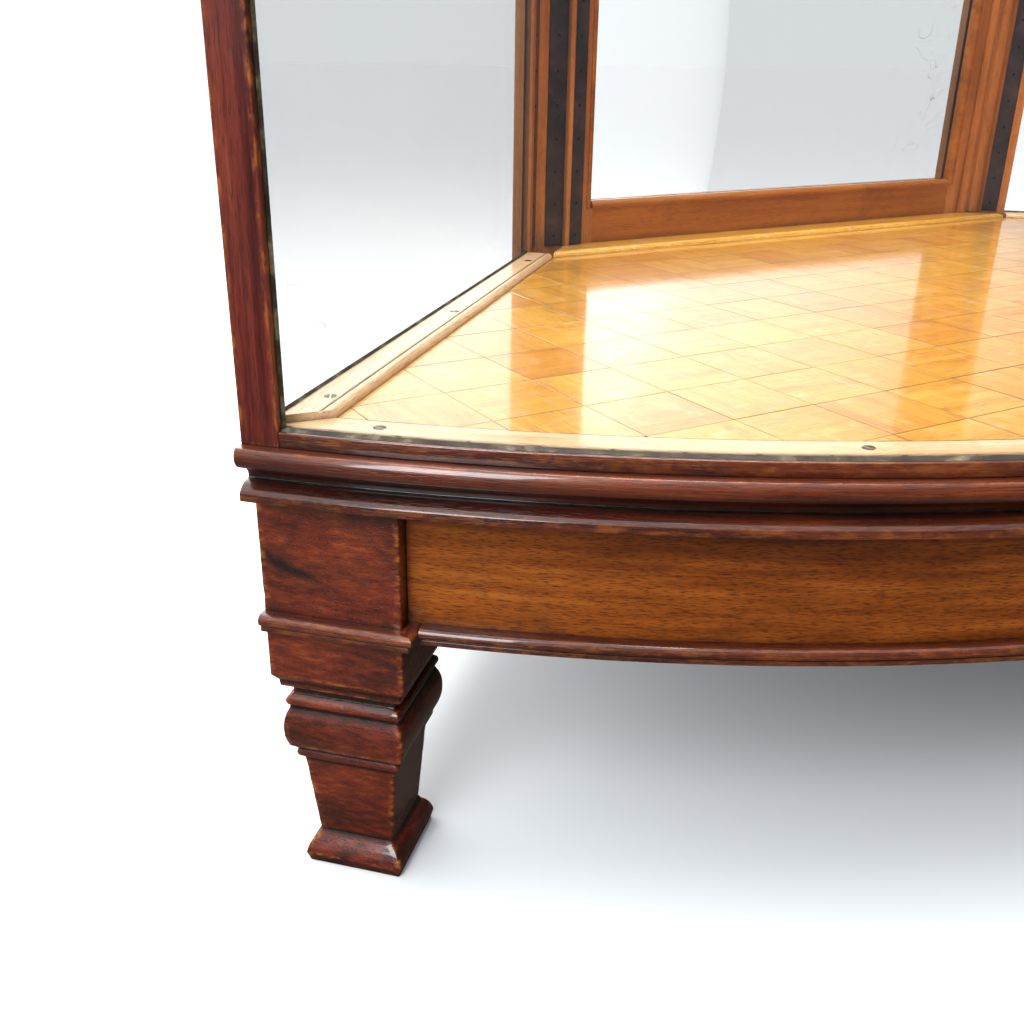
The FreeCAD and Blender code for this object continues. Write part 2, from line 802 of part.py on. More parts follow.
# Hinges on the back, outside the right stile
hinge_x = door_half + door_gap / 2.0
hinge_distance = back_outer - hinge_offset
knuckle = hinge_length / 3.0
jamb_leaves = []
door_leaves = []
hinge_pins = []
web = hinge_radius + 0.6
leaf_depth = (back_outer - leaf_thickness, back_outer)
web_depth = (back_outer - hinge_offset, back_outer)


def barrel(start, end, radius):
    return upright(hinge_x, hinge_distance, start, end, radius)


def knuckled(side, low, spans, bore):
    # one leaf of a butt hinge: a plate, and a rolled knuckle on a web for each span
    leaf = plan_box(
        sorted((hinge_x + side * web, hinge_x + side * leaf_width)), leaf_depth, (low, low + hinge_length)
    )
    for start, end in spans:
        leaf = leaf.fuse(plan_box(sorted((hinge_x + side, hinge_x + side * web)), web_depth, (start, end)))
        leaf = leaf.fuse(barrel(start, end, hinge_radius))
    return leaf.cut(barrel(low - 1.0, low + hinge_length + 1.0, bore))


for low in hinge_heights:
    lower = (low, low + knuckle)
    middle = (low + knuckle + knuckle_gap, low + 2 * knuckle - knuckle_gap)
    upper = (low + 2 * knuckle, low + hinge_length)
    jamb_leaves.append(knuckled(1, low, (lower, upper), pin_radius))
    door_leaves.append(knuckled(-1, low, (middle,), pin_radius + hinge_run))
    hinge_pins.append(barrel(low, low + hinge_length, pin_radius))
write("hinge_leaves_jamb", group(jamb_leaves))
write("hinge_leaves_door", group(door_leaves))
write("hinge_pins", group(hinge_pins))

# Lock, bolt, key and knob on the left stile
lock_case = plan_box(
    (lock_x - lock_width / 2.0, lock_x + lock_width / 2.0),
    (back_outer, back_outer + lock_thickness),
    (lock_height - lock_tall / 2.0, lock_height + lock_tall / 2.0),
)
bolt_tip = -door_half + 1.0
channel = plan_box(
    (-door_half - 1.0, bolt_tip + bolt_long + 1.0),
    (bolt_middle - bolt_thick / 2.0 - bolt_clearance, bolt_middle + bolt_thick / 2.0 + bolt_clearance),
    (bolt_z - bolt_tall / 2.0 - bolt_clearance, bolt_z + bolt_tall / 2.0 + bolt_clearance),
)
key_depth = 9.0
key_hole = Part.makeCylinder(
    key_radius + key_clearance,
    key_depth + 1.0,
    plan_point(lock_x, back_outer + key_depth, lock_height),
    toward_back,
)
write("lock_case", lock_case.cut(channel).cut(key_hole))
write("lock_bolt", plan_box(
    (bolt_tip, bolt_tip + bolt_long),
    (bolt_middle - bolt_thick / 2.0, bolt_middle + bolt_thick / 2.0),
    (bolt_z - bolt_tall / 2.0, bolt_z + bolt_tall / 2.0),
))
shank_start = plan_point(lock_x, back_outer + key_depth - 1.0, lock_height)
shank_long = key_depth - 1.0 + key_reach - 2 * key_bow_radius + key_bow_thick
key_shank = Part.makeCylinder(key_radius, shank_long, shank_start, toward_back)
bow_middle = plan_point(lock_x, back_outer - key_reach + key_bow_radius, lock_height)
across = Vector(1, 0, 0)
key_bow = Part.makeCylinder(key_bow_radius, key_bow_thick, bow_middle - across * (key_bow_thick / 2.0), across)
key_eye = Part.makeCylinder(key_eye_radius, 3 * key_bow_thick, bow_middle - across * (1.5 * key_bow_thick), across)
write("key", key_shank.fuse(key_bow).cut(key_eye))
knob_face = back_outer - knob_reach
knob_outline = [
    (0.0, knob_face),
    ((knob_radius * 0.72, knob_face + 2.2), (knob_radius, knob_face + 8.0)),
    ((knob_radius * 0.8, knob_face + 13.0), (5.0, knob_face + 16.0)),
    (5.0, back_outer - 3.0),
    (9.0, back_outer - 2.4),
    (9.0, back_outer),
    (knob_stem, back_outer),
    (knob_stem, back_outer + 15.0),
    (0.0, back_outer + 15.0),
]
knob = outline(knob_outline, lambda radius, distance: plan_point(lock_x + radius, distance, knob_z))
knob_axis = plan_point(lock_x, 0, knob_z)
write("door_knob", knob.revolve(knob_axis, toward_back, 360.0))

# Shelf on two long brackets that hook into the side strips
bracket_top = shelf_height - rest_gap
bracket_steps = [
    (-strip_thickness, bracket_top - 2.5 * bracket_tall),
    (-strip_thickness, bracket_top),
    (-bracket_reach, bracket_top),
    (-bracket_reach, bracket_top - bracket_tall / 2.0),
]
bracket_run = side_strip_run - bracket_thickness / 2.0
bracket = side_bar(bracket_steps, bracket_run, bracket_run + bracket_thickness)
write("shelf_brackets", group([bracket, mirrored(bracket)]))
shelf = sector(
    shelf_radius, -shelf_clearance, back_distance + shelf_clearance, shelf_height, shelf_height + shelf_glass
)
write("glass_shelf", shelf)

print("nodes", len(os.listdir("parts")))
print("hinge axis", round(hinge_x, 3), round(apex_y - hinge_distance, 3))
print("key axis", round(lock_x, 3), round(lock_height + floor_height, 3))
print("apex y", round(apex_y, 3))
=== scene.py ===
import math
import random

import bmesh
import bpy
from mathutils import Matrix, Vector, noise


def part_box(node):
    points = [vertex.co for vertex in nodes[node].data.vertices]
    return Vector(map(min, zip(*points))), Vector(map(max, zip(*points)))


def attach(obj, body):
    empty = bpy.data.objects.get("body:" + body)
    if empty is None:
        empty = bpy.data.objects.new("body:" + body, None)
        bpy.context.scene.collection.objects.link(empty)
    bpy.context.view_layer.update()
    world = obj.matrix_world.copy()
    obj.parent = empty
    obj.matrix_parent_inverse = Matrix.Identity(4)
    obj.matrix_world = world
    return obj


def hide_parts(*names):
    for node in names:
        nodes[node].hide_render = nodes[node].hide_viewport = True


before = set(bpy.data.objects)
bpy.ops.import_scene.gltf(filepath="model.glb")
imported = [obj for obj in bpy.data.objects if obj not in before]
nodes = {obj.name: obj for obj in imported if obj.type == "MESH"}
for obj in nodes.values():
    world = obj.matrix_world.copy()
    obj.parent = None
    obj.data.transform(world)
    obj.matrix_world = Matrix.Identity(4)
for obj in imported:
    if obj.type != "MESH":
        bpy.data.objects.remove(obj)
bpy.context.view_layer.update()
print("frame loaded:", len(nodes), "nodes")

# sizes are in millimetres, taken from the apex of the quarter circle and the display floor
mm = 0.001
case = {
    "pane": 6.0,
    "paneToFace": 13.0,     # inner face of the bow glass to the face of the posts
    "seatDepth": 10.0,      # how far the mouldings are let in behind that face
    "sidePlane": 16.0,
    "postInside": 8.0,
    "backInner": 365.5,
    "shoulder": 9.0,
    "baseDrop": 42.0,
    "topUnderside": 560.0,
    "height": 590.0,
    "block": 90.0,
    "apronSetback": 9.0,
    "beadOut": 9.6,
    "filletWidth": 28.0,
    "backFillet": 40.0,
    "border": 22.0,
    "parquet": 8.0,
    "sideStart": 548.9,     # along the side, where the front of the back post is
}
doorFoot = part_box("door_rail_bottom")[0]
apexY = doorFoot.y / mm + case["backInner"]
floorZ = doorFoot.z / mm
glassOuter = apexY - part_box("front_glass")[0].y / mm
bowRadius = glassOuter - case["pane"]
faceRadius = bowRadius + case["paneToFace"]
seatRadius = faceRadius - case["seatDepth"]
apronFace = seatRadius - case["apronSetback"]
borderInner = bowRadius - case["border"]
diagonal = math.sqrt(0.5)


def spot(x, distance, height):
    return Vector((x * mm, (apexY - distance) * mm, (height + floorZ) * mm))


def sideSpot(run, out, height, side=-1):
    return spot(side * (run + out) * diagonal, (run - out) * diagonal, height)


def bowSpot(radius, height, turn):
    return spot(radius * math.sin(turn), radius * math.cos(turn), height)


def traced(steps, segments=8):
    # points, and (middle, end) pairs for the round stretches of an outline
    points = []
    for step in steps:
        if not isinstance(step[0], tuple):
            points.append(Vector(step))
            continue
        first, middle, last = points[-1], Vector(step[0]), Vector(step[1])
        a, b = middle - first, last - first
        cross = 2 * (a.x * b.y - a.y * b.x)
        centre = first + Vector((b.y * a.length_squared - a.y * b.length_squared,
                                 a.x * b.length_squared - b.x * a.length_squared)) / cross
        radius = (first - centre).length
        start = math.atan2(first.y - centre.y, first.x - centre.x)
        sweep = math.atan2(last.y - centre.y, last.x - centre.x) - start
        passing = math.atan2(middle.y - centre.y, middle.x - centre.x) - start
        full = 2 * math.pi
        sweep, passing = sweep % full, passing % full
        if passing > sweep:
            sweep -= full
        for index in range(1, segments + 1):
            turn = start + sweep * index / segments
            points.append(centre + radius * Vector((math.cos(turn), math.sin(turn))))
    return points


def softened(corners, radius=0.8, fade=3.0):
    # rounds each sharp corner; the third value is 1 on an arris and -1 in a quirk
    count = len(corners)
    area = sum(corners[i - 1].x * corners[i].y - corners[i].x * corners[i - 1].y for i in range(count))
    hand = 1 if area > 0 else -1
    result = []
    for index, here in enumerate(corners):
        before, after = here - corners[index - 1], corners[(index + 1) % count] - here
        if before.length < 1e-6 or after.length < 1e-6:
            continue
        bend = hand * math.atan2(before.x * after.y - before.y * after.x, before.dot(after))
        if abs(bend) < math.radians(24):
            result.append((here.x, here.y, 0.0))
            continue
        sign = 1.0 if bend > 0 else -1.0
        cut = min(radius * math.tan(abs(bend) / 2), before.length * 0.3, after.length * 0.3)
        inDir, outDir = before.normalized(), after.normalized()
        if before.length > 2.4 * (cut + fade):
            far = here - inDir * (cut + fade)
            result.append((far.x, far.y, 0.0))
        first, last = here - inDir * cut, here + outDir * cut
        for share in (0.0, 0.33, 0.67, 1.0):
            point = first * (1 - share) ** 2 + here * 2 * share * (1 - share) + last * share ** 2
            result.append((point.x, point.y, sign))
        if after.length > 2.4 * (cut + fade):
            far = here + outDir * (cut + fade)
            result.append((far.x, far.y, 0.0))
    return result


def finishPiece(name, mesh, material, body="cabinet", bevel=0.4, replaced=()):
    surface = bmesh.new()
    surface.from_mesh(mesh)
    bmesh.ops.recalc_face_normals(surface, faces=surface.faces)
    surface.to_mesh(mesh)
    surface.free()
    for face in mesh.polygons:
        face.use_smooth = True
    mesh.set_sharp_from_angle(angle=math.radians(38))
    mesh.materials.append(material)
    piece = bpy.data.objects.new(name, mesh)
    bpy.context.scene.collection.objects.link(piece)
    if bevel:
        edge = piece.modifiers.new("arris", "BEVEL")
        edge.width = bevel * mm
        edge.segments = 2
        edge.limit_method = "ANGLE"
        edge.angle_limit = math.radians(50)
    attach(piece, body)
    if replaced:
        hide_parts(*replaced)
    return piece


def meshOf(name, points, faces, grain, wear):
    mesh = bpy.data.meshes.new(name)
    mesh.from_pydata(points, [], faces)
    mesh.update()
    grainLayer = mesh.attributes.new("grain", "FLOAT_VECTOR", "POINT")
    grainLayer.data.foreach_set("vector", [value for item in grain for value in item])
    wearLayer = mesh.attributes.new("wear", "FLOAT", "POINT")
    wearLayer.data.foreach_set("value", wear)
    return mesh


def tubeFaces(rings, size):
    # quads between neighbouring rings of points, and a cap at each end
    faces = []
    for ring in range(rings - 1):
        a, b = ring * size, (ring + 1) * size
        for i in range(size):
            j = (i + 1) % size
            faces.append((a + i, a + j, b + j, b + i))
    last = (rings - 1) * size
    return faces + [tuple(range(size)), tuple(range(last, last + size))]


def sweptShares(length, step, fade=3.0):
    # stations along a run: close together at the ends, where the edges are worn
    count = max(2, round(length / step))
    rim = fade / length
    return [0.0] + [rim + (1 - 2 * rim) * i / count for i in range(count + 1)] + [1.0]


def sweptMesh(name, outline, place, shares, lengthOf, seed=0.0):
    # place(u, v, share) gives the point; the grain runs along the sweep
    points, grain, wear = [], [], []
    for index, share in enumerate(shares):
        atEnd = index in (0, len(shares) - 1)
        for u, v, worn in outline:
            points.append(place(u, v, share))
            grain.append((lengthOf * share + seed, v, u))
            wear.append(max(worn, 0.8) if atEnd else worn)
    return meshOf(name, points, tubeFaces(len(shares), len(outline)), grain, wear)


def joined(name, meshes):
    surface = bmesh.new()
    for mesh in meshes:
        surface.from_mesh(mesh)
    whole = bpy.data.meshes.new(name)
    surface.to_mesh(whole)
    surface.free()
    return whole


def linear(code):
    def channel(text):
        value = int(text, 16) / 255
        return value / 12.92 if value <= 0.04045 else ((value + 0.055) / 1.055) ** 2.4
    code = code.lstrip("#")
    return (channel(code[0:2]), channel(code[2:4]), channel(code[4:6]), 1.0)


def addNode(tree, kind, settings=None, links=None):
    node = tree.nodes.new(kind)
    for key, value in (settings or {}).items():
        if key == "stops":
            ramp = node.color_ramp.elements
            while len(ramp) < len(value):
                ramp.new(0.5)
            for stop, (place, shade) in zip(ramp, value):
                stop.position = place
                stop.color = linear(shade) if isinstance(shade, str) else (shade, shade, shade, 1)
        elif isinstance(key, int) or (key in node.inputs.keys() and not key.islower()):
            node.inputs[key].default_value = value
        else:
            setattr(node, key, value)
    for key, source in (links or {}).items():
        tree.links.new(source, node.inputs[key])
    return node


def newMaterial(name):
    material = bpy.data.materials.new(name)
    material.use_nodes = True
    tree = material.node_tree
    tree.nodes.clear()
    return material, tree


def grainSource(tree, look):
    # vector in millimetres, x along the grain
    if look.get("turn") is None:
        return addNode(tree, "ShaderNodeAttribute", {"attribute_name": "grain"}).outputs["Vector"]
    place = addNode(tree, "ShaderNodeTexCoord")
    turned = addNode(tree, "ShaderNodeMapping", {"Rotation": look["turn"], "Scale": (1000, 1000, 1000)},
                     {"Vector": place.outputs["Object"]})
    return turned.outputs["Vector"]


plus, minus, times = {"operation": "ADD"}, {"operation": "SUBTRACT"}, {"operation": "MULTIPLY"}
greater, held = {"operation": "MAXIMUM"}, {"use_clamp": True}


def addNodes(tree, known, rows):
    # a row holds what its value is known by, the kind of node, its settings and its inputs in turn;
    # an input is a number, or the name of a value already known
    for label, kind, settings, inputs in rows:
        numbers = {slot: value for slot, value in enumerate(inputs) if not isinstance(value, str)}
        links = {slot: known[value] for slot, value in enumerate(inputs) if isinstance(value, str)}
        known[label] = addNode(tree, "ShaderNode" + kind, {**settings, **numbers}, links).outputs[0]
    return known


def polishedMahogany(name, look):
    # French-polished mahogany: deep red-brown with dark pores along the grain, a clear shine on top
    material, tree = newMaterial(name)
    vector, known = grainSource(tree, look), {}
    # how long, wide and deep one blotch is, in millimetres along, across and through the grain
    for label, size, detail, rough, warp, shift in (
        ("bands", look["bands"], 2.0, 0.5, 0.4, 0.0),
        ("streaks", look["streaks"], 4.0, 0.6, 0.2, 3.1),
        ("pores", look["pores"], 2.0, 0.5, 0.0, 7.7),
        ("patches", look["patches"], 3.0, 0.6, 0.6, 11.3),
        ("crumbs", (14, 5, 5), 5.0, 0.65, 0.3, 19.0),
        ("scuffs", (9, 9, 9), 6.0, 0.7, 0.0, 31.0),
        ("waves", (60, 16, 16), 2.0, 0.5, 0.0, 23.0),
    ):
        known[label] = addNode(tree, "ShaderNodeMapping",
                               {"Scale": tuple(1 / length for length in size), "Location": (shift,) * 3},
                               {"Vector": vector}).outputs["Vector"]
        known[label] = addNode(tree, "ShaderNodeTexNoise",
                               {"Scale": 1.0, "Detail": detail, "Roughness": rough, "Distortion": warp},
                               {"Vector": known[label]}).outputs["Fac"]
    known["wear"] = addNode(tree, "ShaderNodeAttribute", {"attribute_name": "wear"}).outputs["Fac"]
    # painted shade: the colour is darkened where other surfaces shut a place in, read from ambient
    # occlusion, and laid on together with the dirt caked in the quirks
    nearby = addNode(tree, "ShaderNodeAmbientOcclusion", {"samples": 5, "Distance": 16 * mm})
    known["open"] = nearby.outputs["AO"]
    addNodes(tree, known, (
        ("broad", "Math", times, ("bands", 0.5)),
        ("fine", "Math", times, ("streaks", 0.5)),
        ("figure", "Math", plus, ("broad", "fine")),
        ("patina", "MapRange", {}, ("patches", 0.52, 0.72, 0.0, look["patina"])),
        ("pore", "MapRange", {}, ("pores", 0.50, 0.66, 0.0, look["poreDepth"])),
        ("arris", "MapRange", {}, ("wear", 0.15, 1.0, 0.0, 1.0)),
        ("crumbled", "MapRange", {}, ("crumbs", 0.47, 0.64, 0.0, 1.0)),
        ("worn", "Math", {**times, **held}, ("arris", "crumbled")),
        ("rubbed", "Math", times, ("worn", look["rubbed"])),
        ("quirk", "MapRange", {}, ("wear", -0.05, -0.9, 0.0, 1.0)),
        ("clotted", "MapRange", {}, ("crumbs", 0.25, 0.5, 0.55, 1.0)),
        ("caked", "Math", {**times, **held}, ("quirk", "clotted")),
        ("shut", "MapRange", {}, ("open", 0.85, 0.35, 0.0, look["grime"])),
        ("mottled", "MapRange", {}, ("patches", 0.2, 0.6, 0.6, 1.0)),
        ("sooty", "Math", {**times, **held}, ("shut", "mottled")),
        ("grime", "Math", greater, ("caked", "sooty")),
        ("dent", "MapRange", {}, ("scuffs", 0.70, 0.78, 0.0, 1.0)),
        ("scuffed", "Math", times, ("dent", 0.5)),
        ("touched", "Math", plus, ("rubbed", "grime")),
        ("dull", "MapRange", {}, ("patches", 0.3, 0.7, look["rough"] - 0.05, look["rough"] + 0.12)),
        ("dulled", "Math", times, ("touched", 0.12)),
        ("roughness", "Math", {**plus, **held}, ("dull", "dulled")),
        ("stripped", "Math", times, ("touched", 0.25)),
        ("coat", "Math", {**minus, **held}, (look["coat"], "stripped")),
        ("ridges", "Math", times, ("streaks", 0.35)),
        ("pits", "Math", times, ("pore", 0.5)),
        ("relief", "Math", minus, ("ridges", "pits")),
        ("knocks", "Math", times, ("dent", 0.8)),
        ("knocked", "Math", minus, ("relief", "knocks")),
        ("rolling", "Math", times, ("waves", 1.2)),
        ("height", "Math", plus, ("knocked", "rolling")),
    ))
    ramp = addNode(tree, "ShaderNodeValToRGB", {"stops": look["figure"]}, {"Fac": known["figure"]})
    colour = ramp.outputs["Color"]
    # the grime layer paints both the caked dirt and the painted shade near black
    for label, shade, blend in (
        ("patina", look["dark"], "MIX"), ("pore", look["dark"], "MIX"), ("rubbed", look["bare"], "MIX"),
        ("grime", "#120504", "MIX"), ("scuffed", look["bare"], "MIX"),
    ):
        settings = {"data_type": "RGBA", "blend_type": blend, "clamp_factor": True, 7: linear(shade)}
        colour = addNode(tree, "ShaderNodeMix", settings, {0: known[label], 6: colour}).outputs[2]
    bump = addNode(tree, "ShaderNodeBump", {"Strength": look["bump"], "Distance": 0.0006},
                   {"Height": known["height"]})
    shader = addNode(tree, "ShaderNodeBsdfPrincipled",
                     {"IOR": 1.5, "Specular IOR Level": 0.3, "Coat Roughness": 0.07, "Coat IOR": 1.5},
                     {"Base Color": colour, "Roughness": known["roughness"], "Coat Weight": known["coat"],
                      "Normal": bump.outputs["Normal"]})
    addNode(tree, "ShaderNodeOutputMaterial", {}, {"Surface": shader.outputs["BSDF"]})
    return material


mahogany = {
    "bands": (330, 33, 33),
    "streaks": (125, 4.5, 4.5),
    "pores": (10, 0.75, 0.75),    # real pores are 0.2 mm wide; drawn coarser so that they show
    "patches": (90, 60, 60),
    "figure": [(0.32, "#3d0f0f"), (0.44, "#63211b"), (0.56, "#7d3628"), (0.70, "#9c5237")],
    "dark": "#240b09",
    "bare": "#b5692f",
    "patina": 0.45,
    "poreDepth": 0.5,
    "rubbed": 0.8,
    "rough": 0.32,
    "coat": 0.35,
    "bump": 0.35,
    "grime": 0.9,
}
postWood = polishedMahogany("mahoganyFrenchPolishedPost", mahogany)
legWood = polishedMahogany("mahoganyFrenchPolishedLeg", {
    **mahogany, "bands": (160, 40, 40), "streaks": (70, 4, 4), "patches": (70, 45, 45),
    "figure": [(0.32, "#2c0b06"), (0.44, "#561b0e"), (0.56, "#7b2e17"), (0.70, "#a34a20")], "patina": 1.0,
    "dark": "#1a0807", "rubbed": 0.9, "rough": 0.24, "coat": 0.9, "bump": 0.7})
mouldingWood = polishedMahogany("mahoganyFrenchPolishedMoulding", {
    **mahogany, "bands": (240, 20, 20), "streaks": (90, 3, 3), "rough": 0.22, "coat": 1.0, "bump": 0.9,
    "rubbed": 0.35, "figure": [(0.32, "#310d06"), (0.45, "#58200f"), (0.57, "#783518"), (0.70, "#9a5323")]})
apronLook = {
    **mahogany, "bands": (300, 45, 45), "streaks": (100, 6, 6), "pores": (5.5, 0.6, 0.6), "poreDepth": 0.7,
    "figure": [(0.28, "#5e2604"), (0.44, "#8b440e"), (0.56, "#a95a1a"), (0.72, "#c4782f")],
    "dark": "#2b1008", "patina": 0.35, "rough": 0.36, "coat": 0.2, "bump": 0.25}
apronWood = polishedMahogany("mahoganyWaxedApron", apronLook)
quarter = math.radians(90)
# grain on the carried-over nodes runs along their length, by object coordinates
uprightWood = polishedMahogany("mahoganyPolishedUpright", {
    **mahogany, "turn": (0, quarter, 0), "streaks": (160, 9, 9),
    "figure": [(0.25, "#874c20"), (0.45, "#b56e35"), (0.60, "#c98243"), (0.80, "#da985b")], "patina": 0.25,
    "poreDepth": 0.25, "grime": 0.3})
levelWood = polishedMahogany("mahoganyPolishedLevel", {
    **mahogany, "turn": (0, 0, 0), "streaks": (160, 9, 9),
    "figure": [(0.25, "#7a400c"), (0.45, "#a05a14"), (0.60, "#b56b1e"), (0.80, "#c98032")], "patina": 0.25,
    "poreDepth": 0.25, "grime": 0.4})
leftWood = polishedMahogany("mahoganyPolishedLeftSide", {**mahogany, "turn": (0, 0, math.radians(-45))})
rightWood = polishedMahogany("mahoganyPolishedRightSide", {**mahogany, "turn": (0, 0, math.radians(45))})
leftApron = polishedMahogany("mahoganyWaxedLeftSide", {**apronLook, "turn": (0, 0, math.radians(-45))})
rightApron = polishedMahogany("mahoganyWaxedRightSide", {**apronLook, "turn": (0, 0, math.radians(45))})
backApron = polishedMahogany("mahoganyWaxedBack", {**apronLook, "turn": (0, 0, 0)})


def varnishedOak(name, look):
    # quarter-sawn oak under clear varnish: pale gold, fine dark pores, small silvery flecks, glossy
    material, tree = newMaterial(name)
    vector, known = grainSource(tree, look), {}
    # how long, wide and deep one blotch is, in millimetres along, across and through the grain
    for label, size, detail, rough, warp, shift in (
        ("bands", (220, 14, 14), 2.0, 0.5, 0.5, 0.0),
        ("streaks", (60, 1.6, 1.6), 4.0, 0.6, 0.15, 5.0),
        ("pores", (14, 0.8, 0.8), 2.0, 0.5, 0.0, 9.0),
        ("rays", (9, 26, 26), 3.0, 0.5, 0.8, 13.0),
    ):
        known[label] = addNode(tree, "ShaderNodeMapping",
                               {"Scale": tuple(1 / length for length in size), "Location": (shift,) * 3},
                               {"Vector": vector}).outputs["Vector"]
        known[label] = addNode(tree, "ShaderNodeTexNoise",
                               {"Scale": 1.0, "Detail": detail, "Roughness": rough, "Distortion": warp},
                               {"Vector": known[label]}).outputs["Fac"]
    for label in ("tint", "wear"):
        known[label] = addNode(tree, "ShaderNodeAttribute", {"attribute_name": label}).outputs["Fac"]
    # painted shade: darker where other surfaces shut a place in, read from ambient occlusion, laid on with
    # the dirt in the joints as grime
    nearby = addNode(tree, "ShaderNodeAmbientOcclusion", {"samples": 5, "Distance": 5 * mm})
    known["open"] = nearby.outputs["AO"]
    place = addNode(tree, "ShaderNodeTexCoord")
    known["stains"] = addNode(tree, "ShaderNodeTexNoise", {"Scale": 9.0, "Detail": 5.0, "Roughness": 0.65},
                              {"Vector": place.outputs["Object"]}).outputs["Fac"]
    addNodes(tree, known, (
        ("broad", "Math", times, ("bands", 0.5)),
        ("fine", "Math", times, ("streaks", 0.5)),
        ("figure", "Math", plus, ("broad", "fine")),
        ("fleck", "MapRange", {}, ("rays", 0.55, 0.68, 0.0, 0.25)),
        ("pore", "MapRange", {}, ("pores", 0.56, 0.70, 0.0, look["poreDepth"])),
        ("deep", "MapRange", {}, ("tint", 0.0, 1.0, 0.0, 0.35)),
        ("caked", "MapRange", {}, ("wear", -0.05, -0.9, 0.0, 0.9)),
        ("shut", "MapRange", {}, ("open", 0.8, 0.45, 0.0, 0.55)),
        ("grime", "Math", greater, ("caked", "shut")),
        ("stained", "MapRange", {}, ("stains", 0.55, 0.75, 0.0, 0.5)),
        ("roughness", "MapRange", {}, ("stains", 0.3, 0.7, look["rough"], look["rough"] + 0.12)),
        ("ridges", "Math", times, ("streaks", 0.3)),
        ("height", "Math", minus, ("ridges", "pore")),
    ))
    ramp = addNode(tree, "ShaderNodeValToRGB", {"stops": look["figure"]}, {"Fac": known["figure"]})
    colour = ramp.outputs["Color"]
    for label, shade, blend in (
        ("fleck", look["fleck"], "MIX"), ("pore", look["pore"], "MULTIPLY"),
        ("deep", look["deep"], "MULTIPLY"), ("grime", "#3d2a1a", "MIX"),
        ("stained", "#d9b98a", "MULTIPLY"),
    ):
        settings = {"data_type": "RGBA", "blend_type": blend, "clamp_factor": True, 7: linear(shade)}
        colour = addNode(tree, "ShaderNodeMix", settings, {0: known[label], 6: colour}).outputs[2]
    bump = addNode(tree, "ShaderNodeBump", {"Strength": 0.2, "Distance": 0.0004},
                   {"Height": known["height"]})
    shader = addNode(tree, "ShaderNodeBsdfPrincipled",
                     {"IOR": 1.5, "Coat Weight": look["coat"], "Coat Roughness": 0.09, "Coat IOR": 1.5},
                     {"Base Color": colour, "Roughness": known["roughness"],
                      "Normal": bump.outputs["Normal"]})
    addNode(tree, "ShaderNodeOutputMaterial", {}, {"Surface": shader.outputs["BSDF"]})
    return material


oak = {
    "figure": [(0.30, "#c4861f"), (0.45, "#e0a231"), (0.60, "#edb443"), (0.75, "#f4c663")],
    "fleck": "#f7dfb2", "pore": "#8a5a2c", "deep": "#d79a4c", "poreDepth": 0.6, "rough": 0.28, "coat": 1.0,
}
tileOak = varnishedOak("oakVarnishedBlock", oak)
filletOak = varnishedOak("oakVarnishedFillet", {
    **oak, "figure": [(0.30, "#c99c68"), (0.45, "#dcb485"), (0.60, "#ebcba2"), (0.75, "#f3dcbb")],
    "coat": 0.5, "deep": "#e2bb88"})
backOak = varnishedOak("oakVarnishedBackFillet", {**oak, "turn": (0, 0, 0)})
print("materials: woods made")


def plainMaterial(name, look):
    # a turned, cast or painted part: one colour broken by stains, with scratches in its roughness
    material, tree = newMaterial(name)
    place = addNode(tree, "ShaderNodeTexCoord").outputs["Object"]
    known = {}
    for label, scale, detail in (("broad", look["blotch"], 4.0), ("fine", look["grit"], 3.0)):
        known[label] = addNode(tree, "ShaderNodeTexNoise",
                               {"Scale": scale, "Detail": detail, "Roughness": 0.6},
                               {"Vector": place}).outputs["Fac"]
    addNodes(tree, known, (
        ("speck", "MapRange", {}, ("fine", 0.58, 0.72, 0.0, look["speck"])),
        ("roughness", "MapRange", {}, ("fine", 0.3, 0.7, look["rough"] - 0.07, look["rough"] + 0.1)),
    ))
    ramp = addNode(tree, "ShaderNodeValToRGB", {"stops": look["stops"]}, {"Fac": known["broad"]})
    colour = ramp.outputs["Color"]
    for label, shade, blend in (
        ("speck", look["speckColour"], "MIX"),
    ):
        settings = {"data_type": "RGBA", "blend_type": blend, "clamp_factor": True, 7: linear(shade)}
        colour = addNode(tree, "ShaderNodeMix", settings, {0: known[label], 6: colour}).outputs[2]
    bump = addNode(tree, "ShaderNodeBump", {"Strength": 0.25, "Distance": 0.0002},
                   {"Height": known["fine"]})
    shader = addNode(tree, "ShaderNodeBsdfPrincipled",
                     {"Metallic": look["metallic"], "Coat Weight": look.get("coat", 0.0),
                      "Coat Roughness": 0.15},
                     {"Base Color": colour, "Roughness": known["roughness"],
                      "Normal": bump.outputs["Normal"]})
    addNode(tree, "ShaderNodeOutputMaterial", {}, {"Surface": shader.outputs["BSDF"]})
    return material


brass = plainMaterial("brassCastTarnished", {
    "blotch": 40, "grit": 600, "stops": [(0.35, "#6d5426"), (0.55, "#a8853d"), (0.7, "#c9a75a")],
    "speck": 0.4, "speckColour": "#4a3818", "rough": 0.32, "metallic": 1.0})
screwSteel = plainMaterial("steelTurnedScrew", {
    "blotch": 200, "grit": 1500, "stops": [(0.35, "#4f4b45"), (0.55, "#7a746b"), (0.7, "#a29b8f")],
    "speck": 0.5, "speckColour": "#3b2a1c", "rough": 0.38, "metallic": 1.0})
japanned = plainMaterial("steelJapannedBlack", {
    "blotch": 30, "grit": 700, "stops": [(0.35, "#120a10"), (0.52, "#2a1b22"), (0.68, "#48303a")],
    "speck": 0.4, "speckColour": "#6a5a5c", "rough": 0.34, "metallic": 0.0, "coat": 0.25})
# painted shade: near-black plugs sunk in the strip holes stand for the shadow inside them
holeShade = plainMaterial("paintedShadeInHoles", {
    "blotch": 80, "grit": 900, "stops": [(0.35, "#020202"), (0.6, "#0a0706"), (0.8, "#120c0a")],
    "speck": 0.1, "speckColour": "#1a1410", "rough": 0.9, "metallic": 0.0})
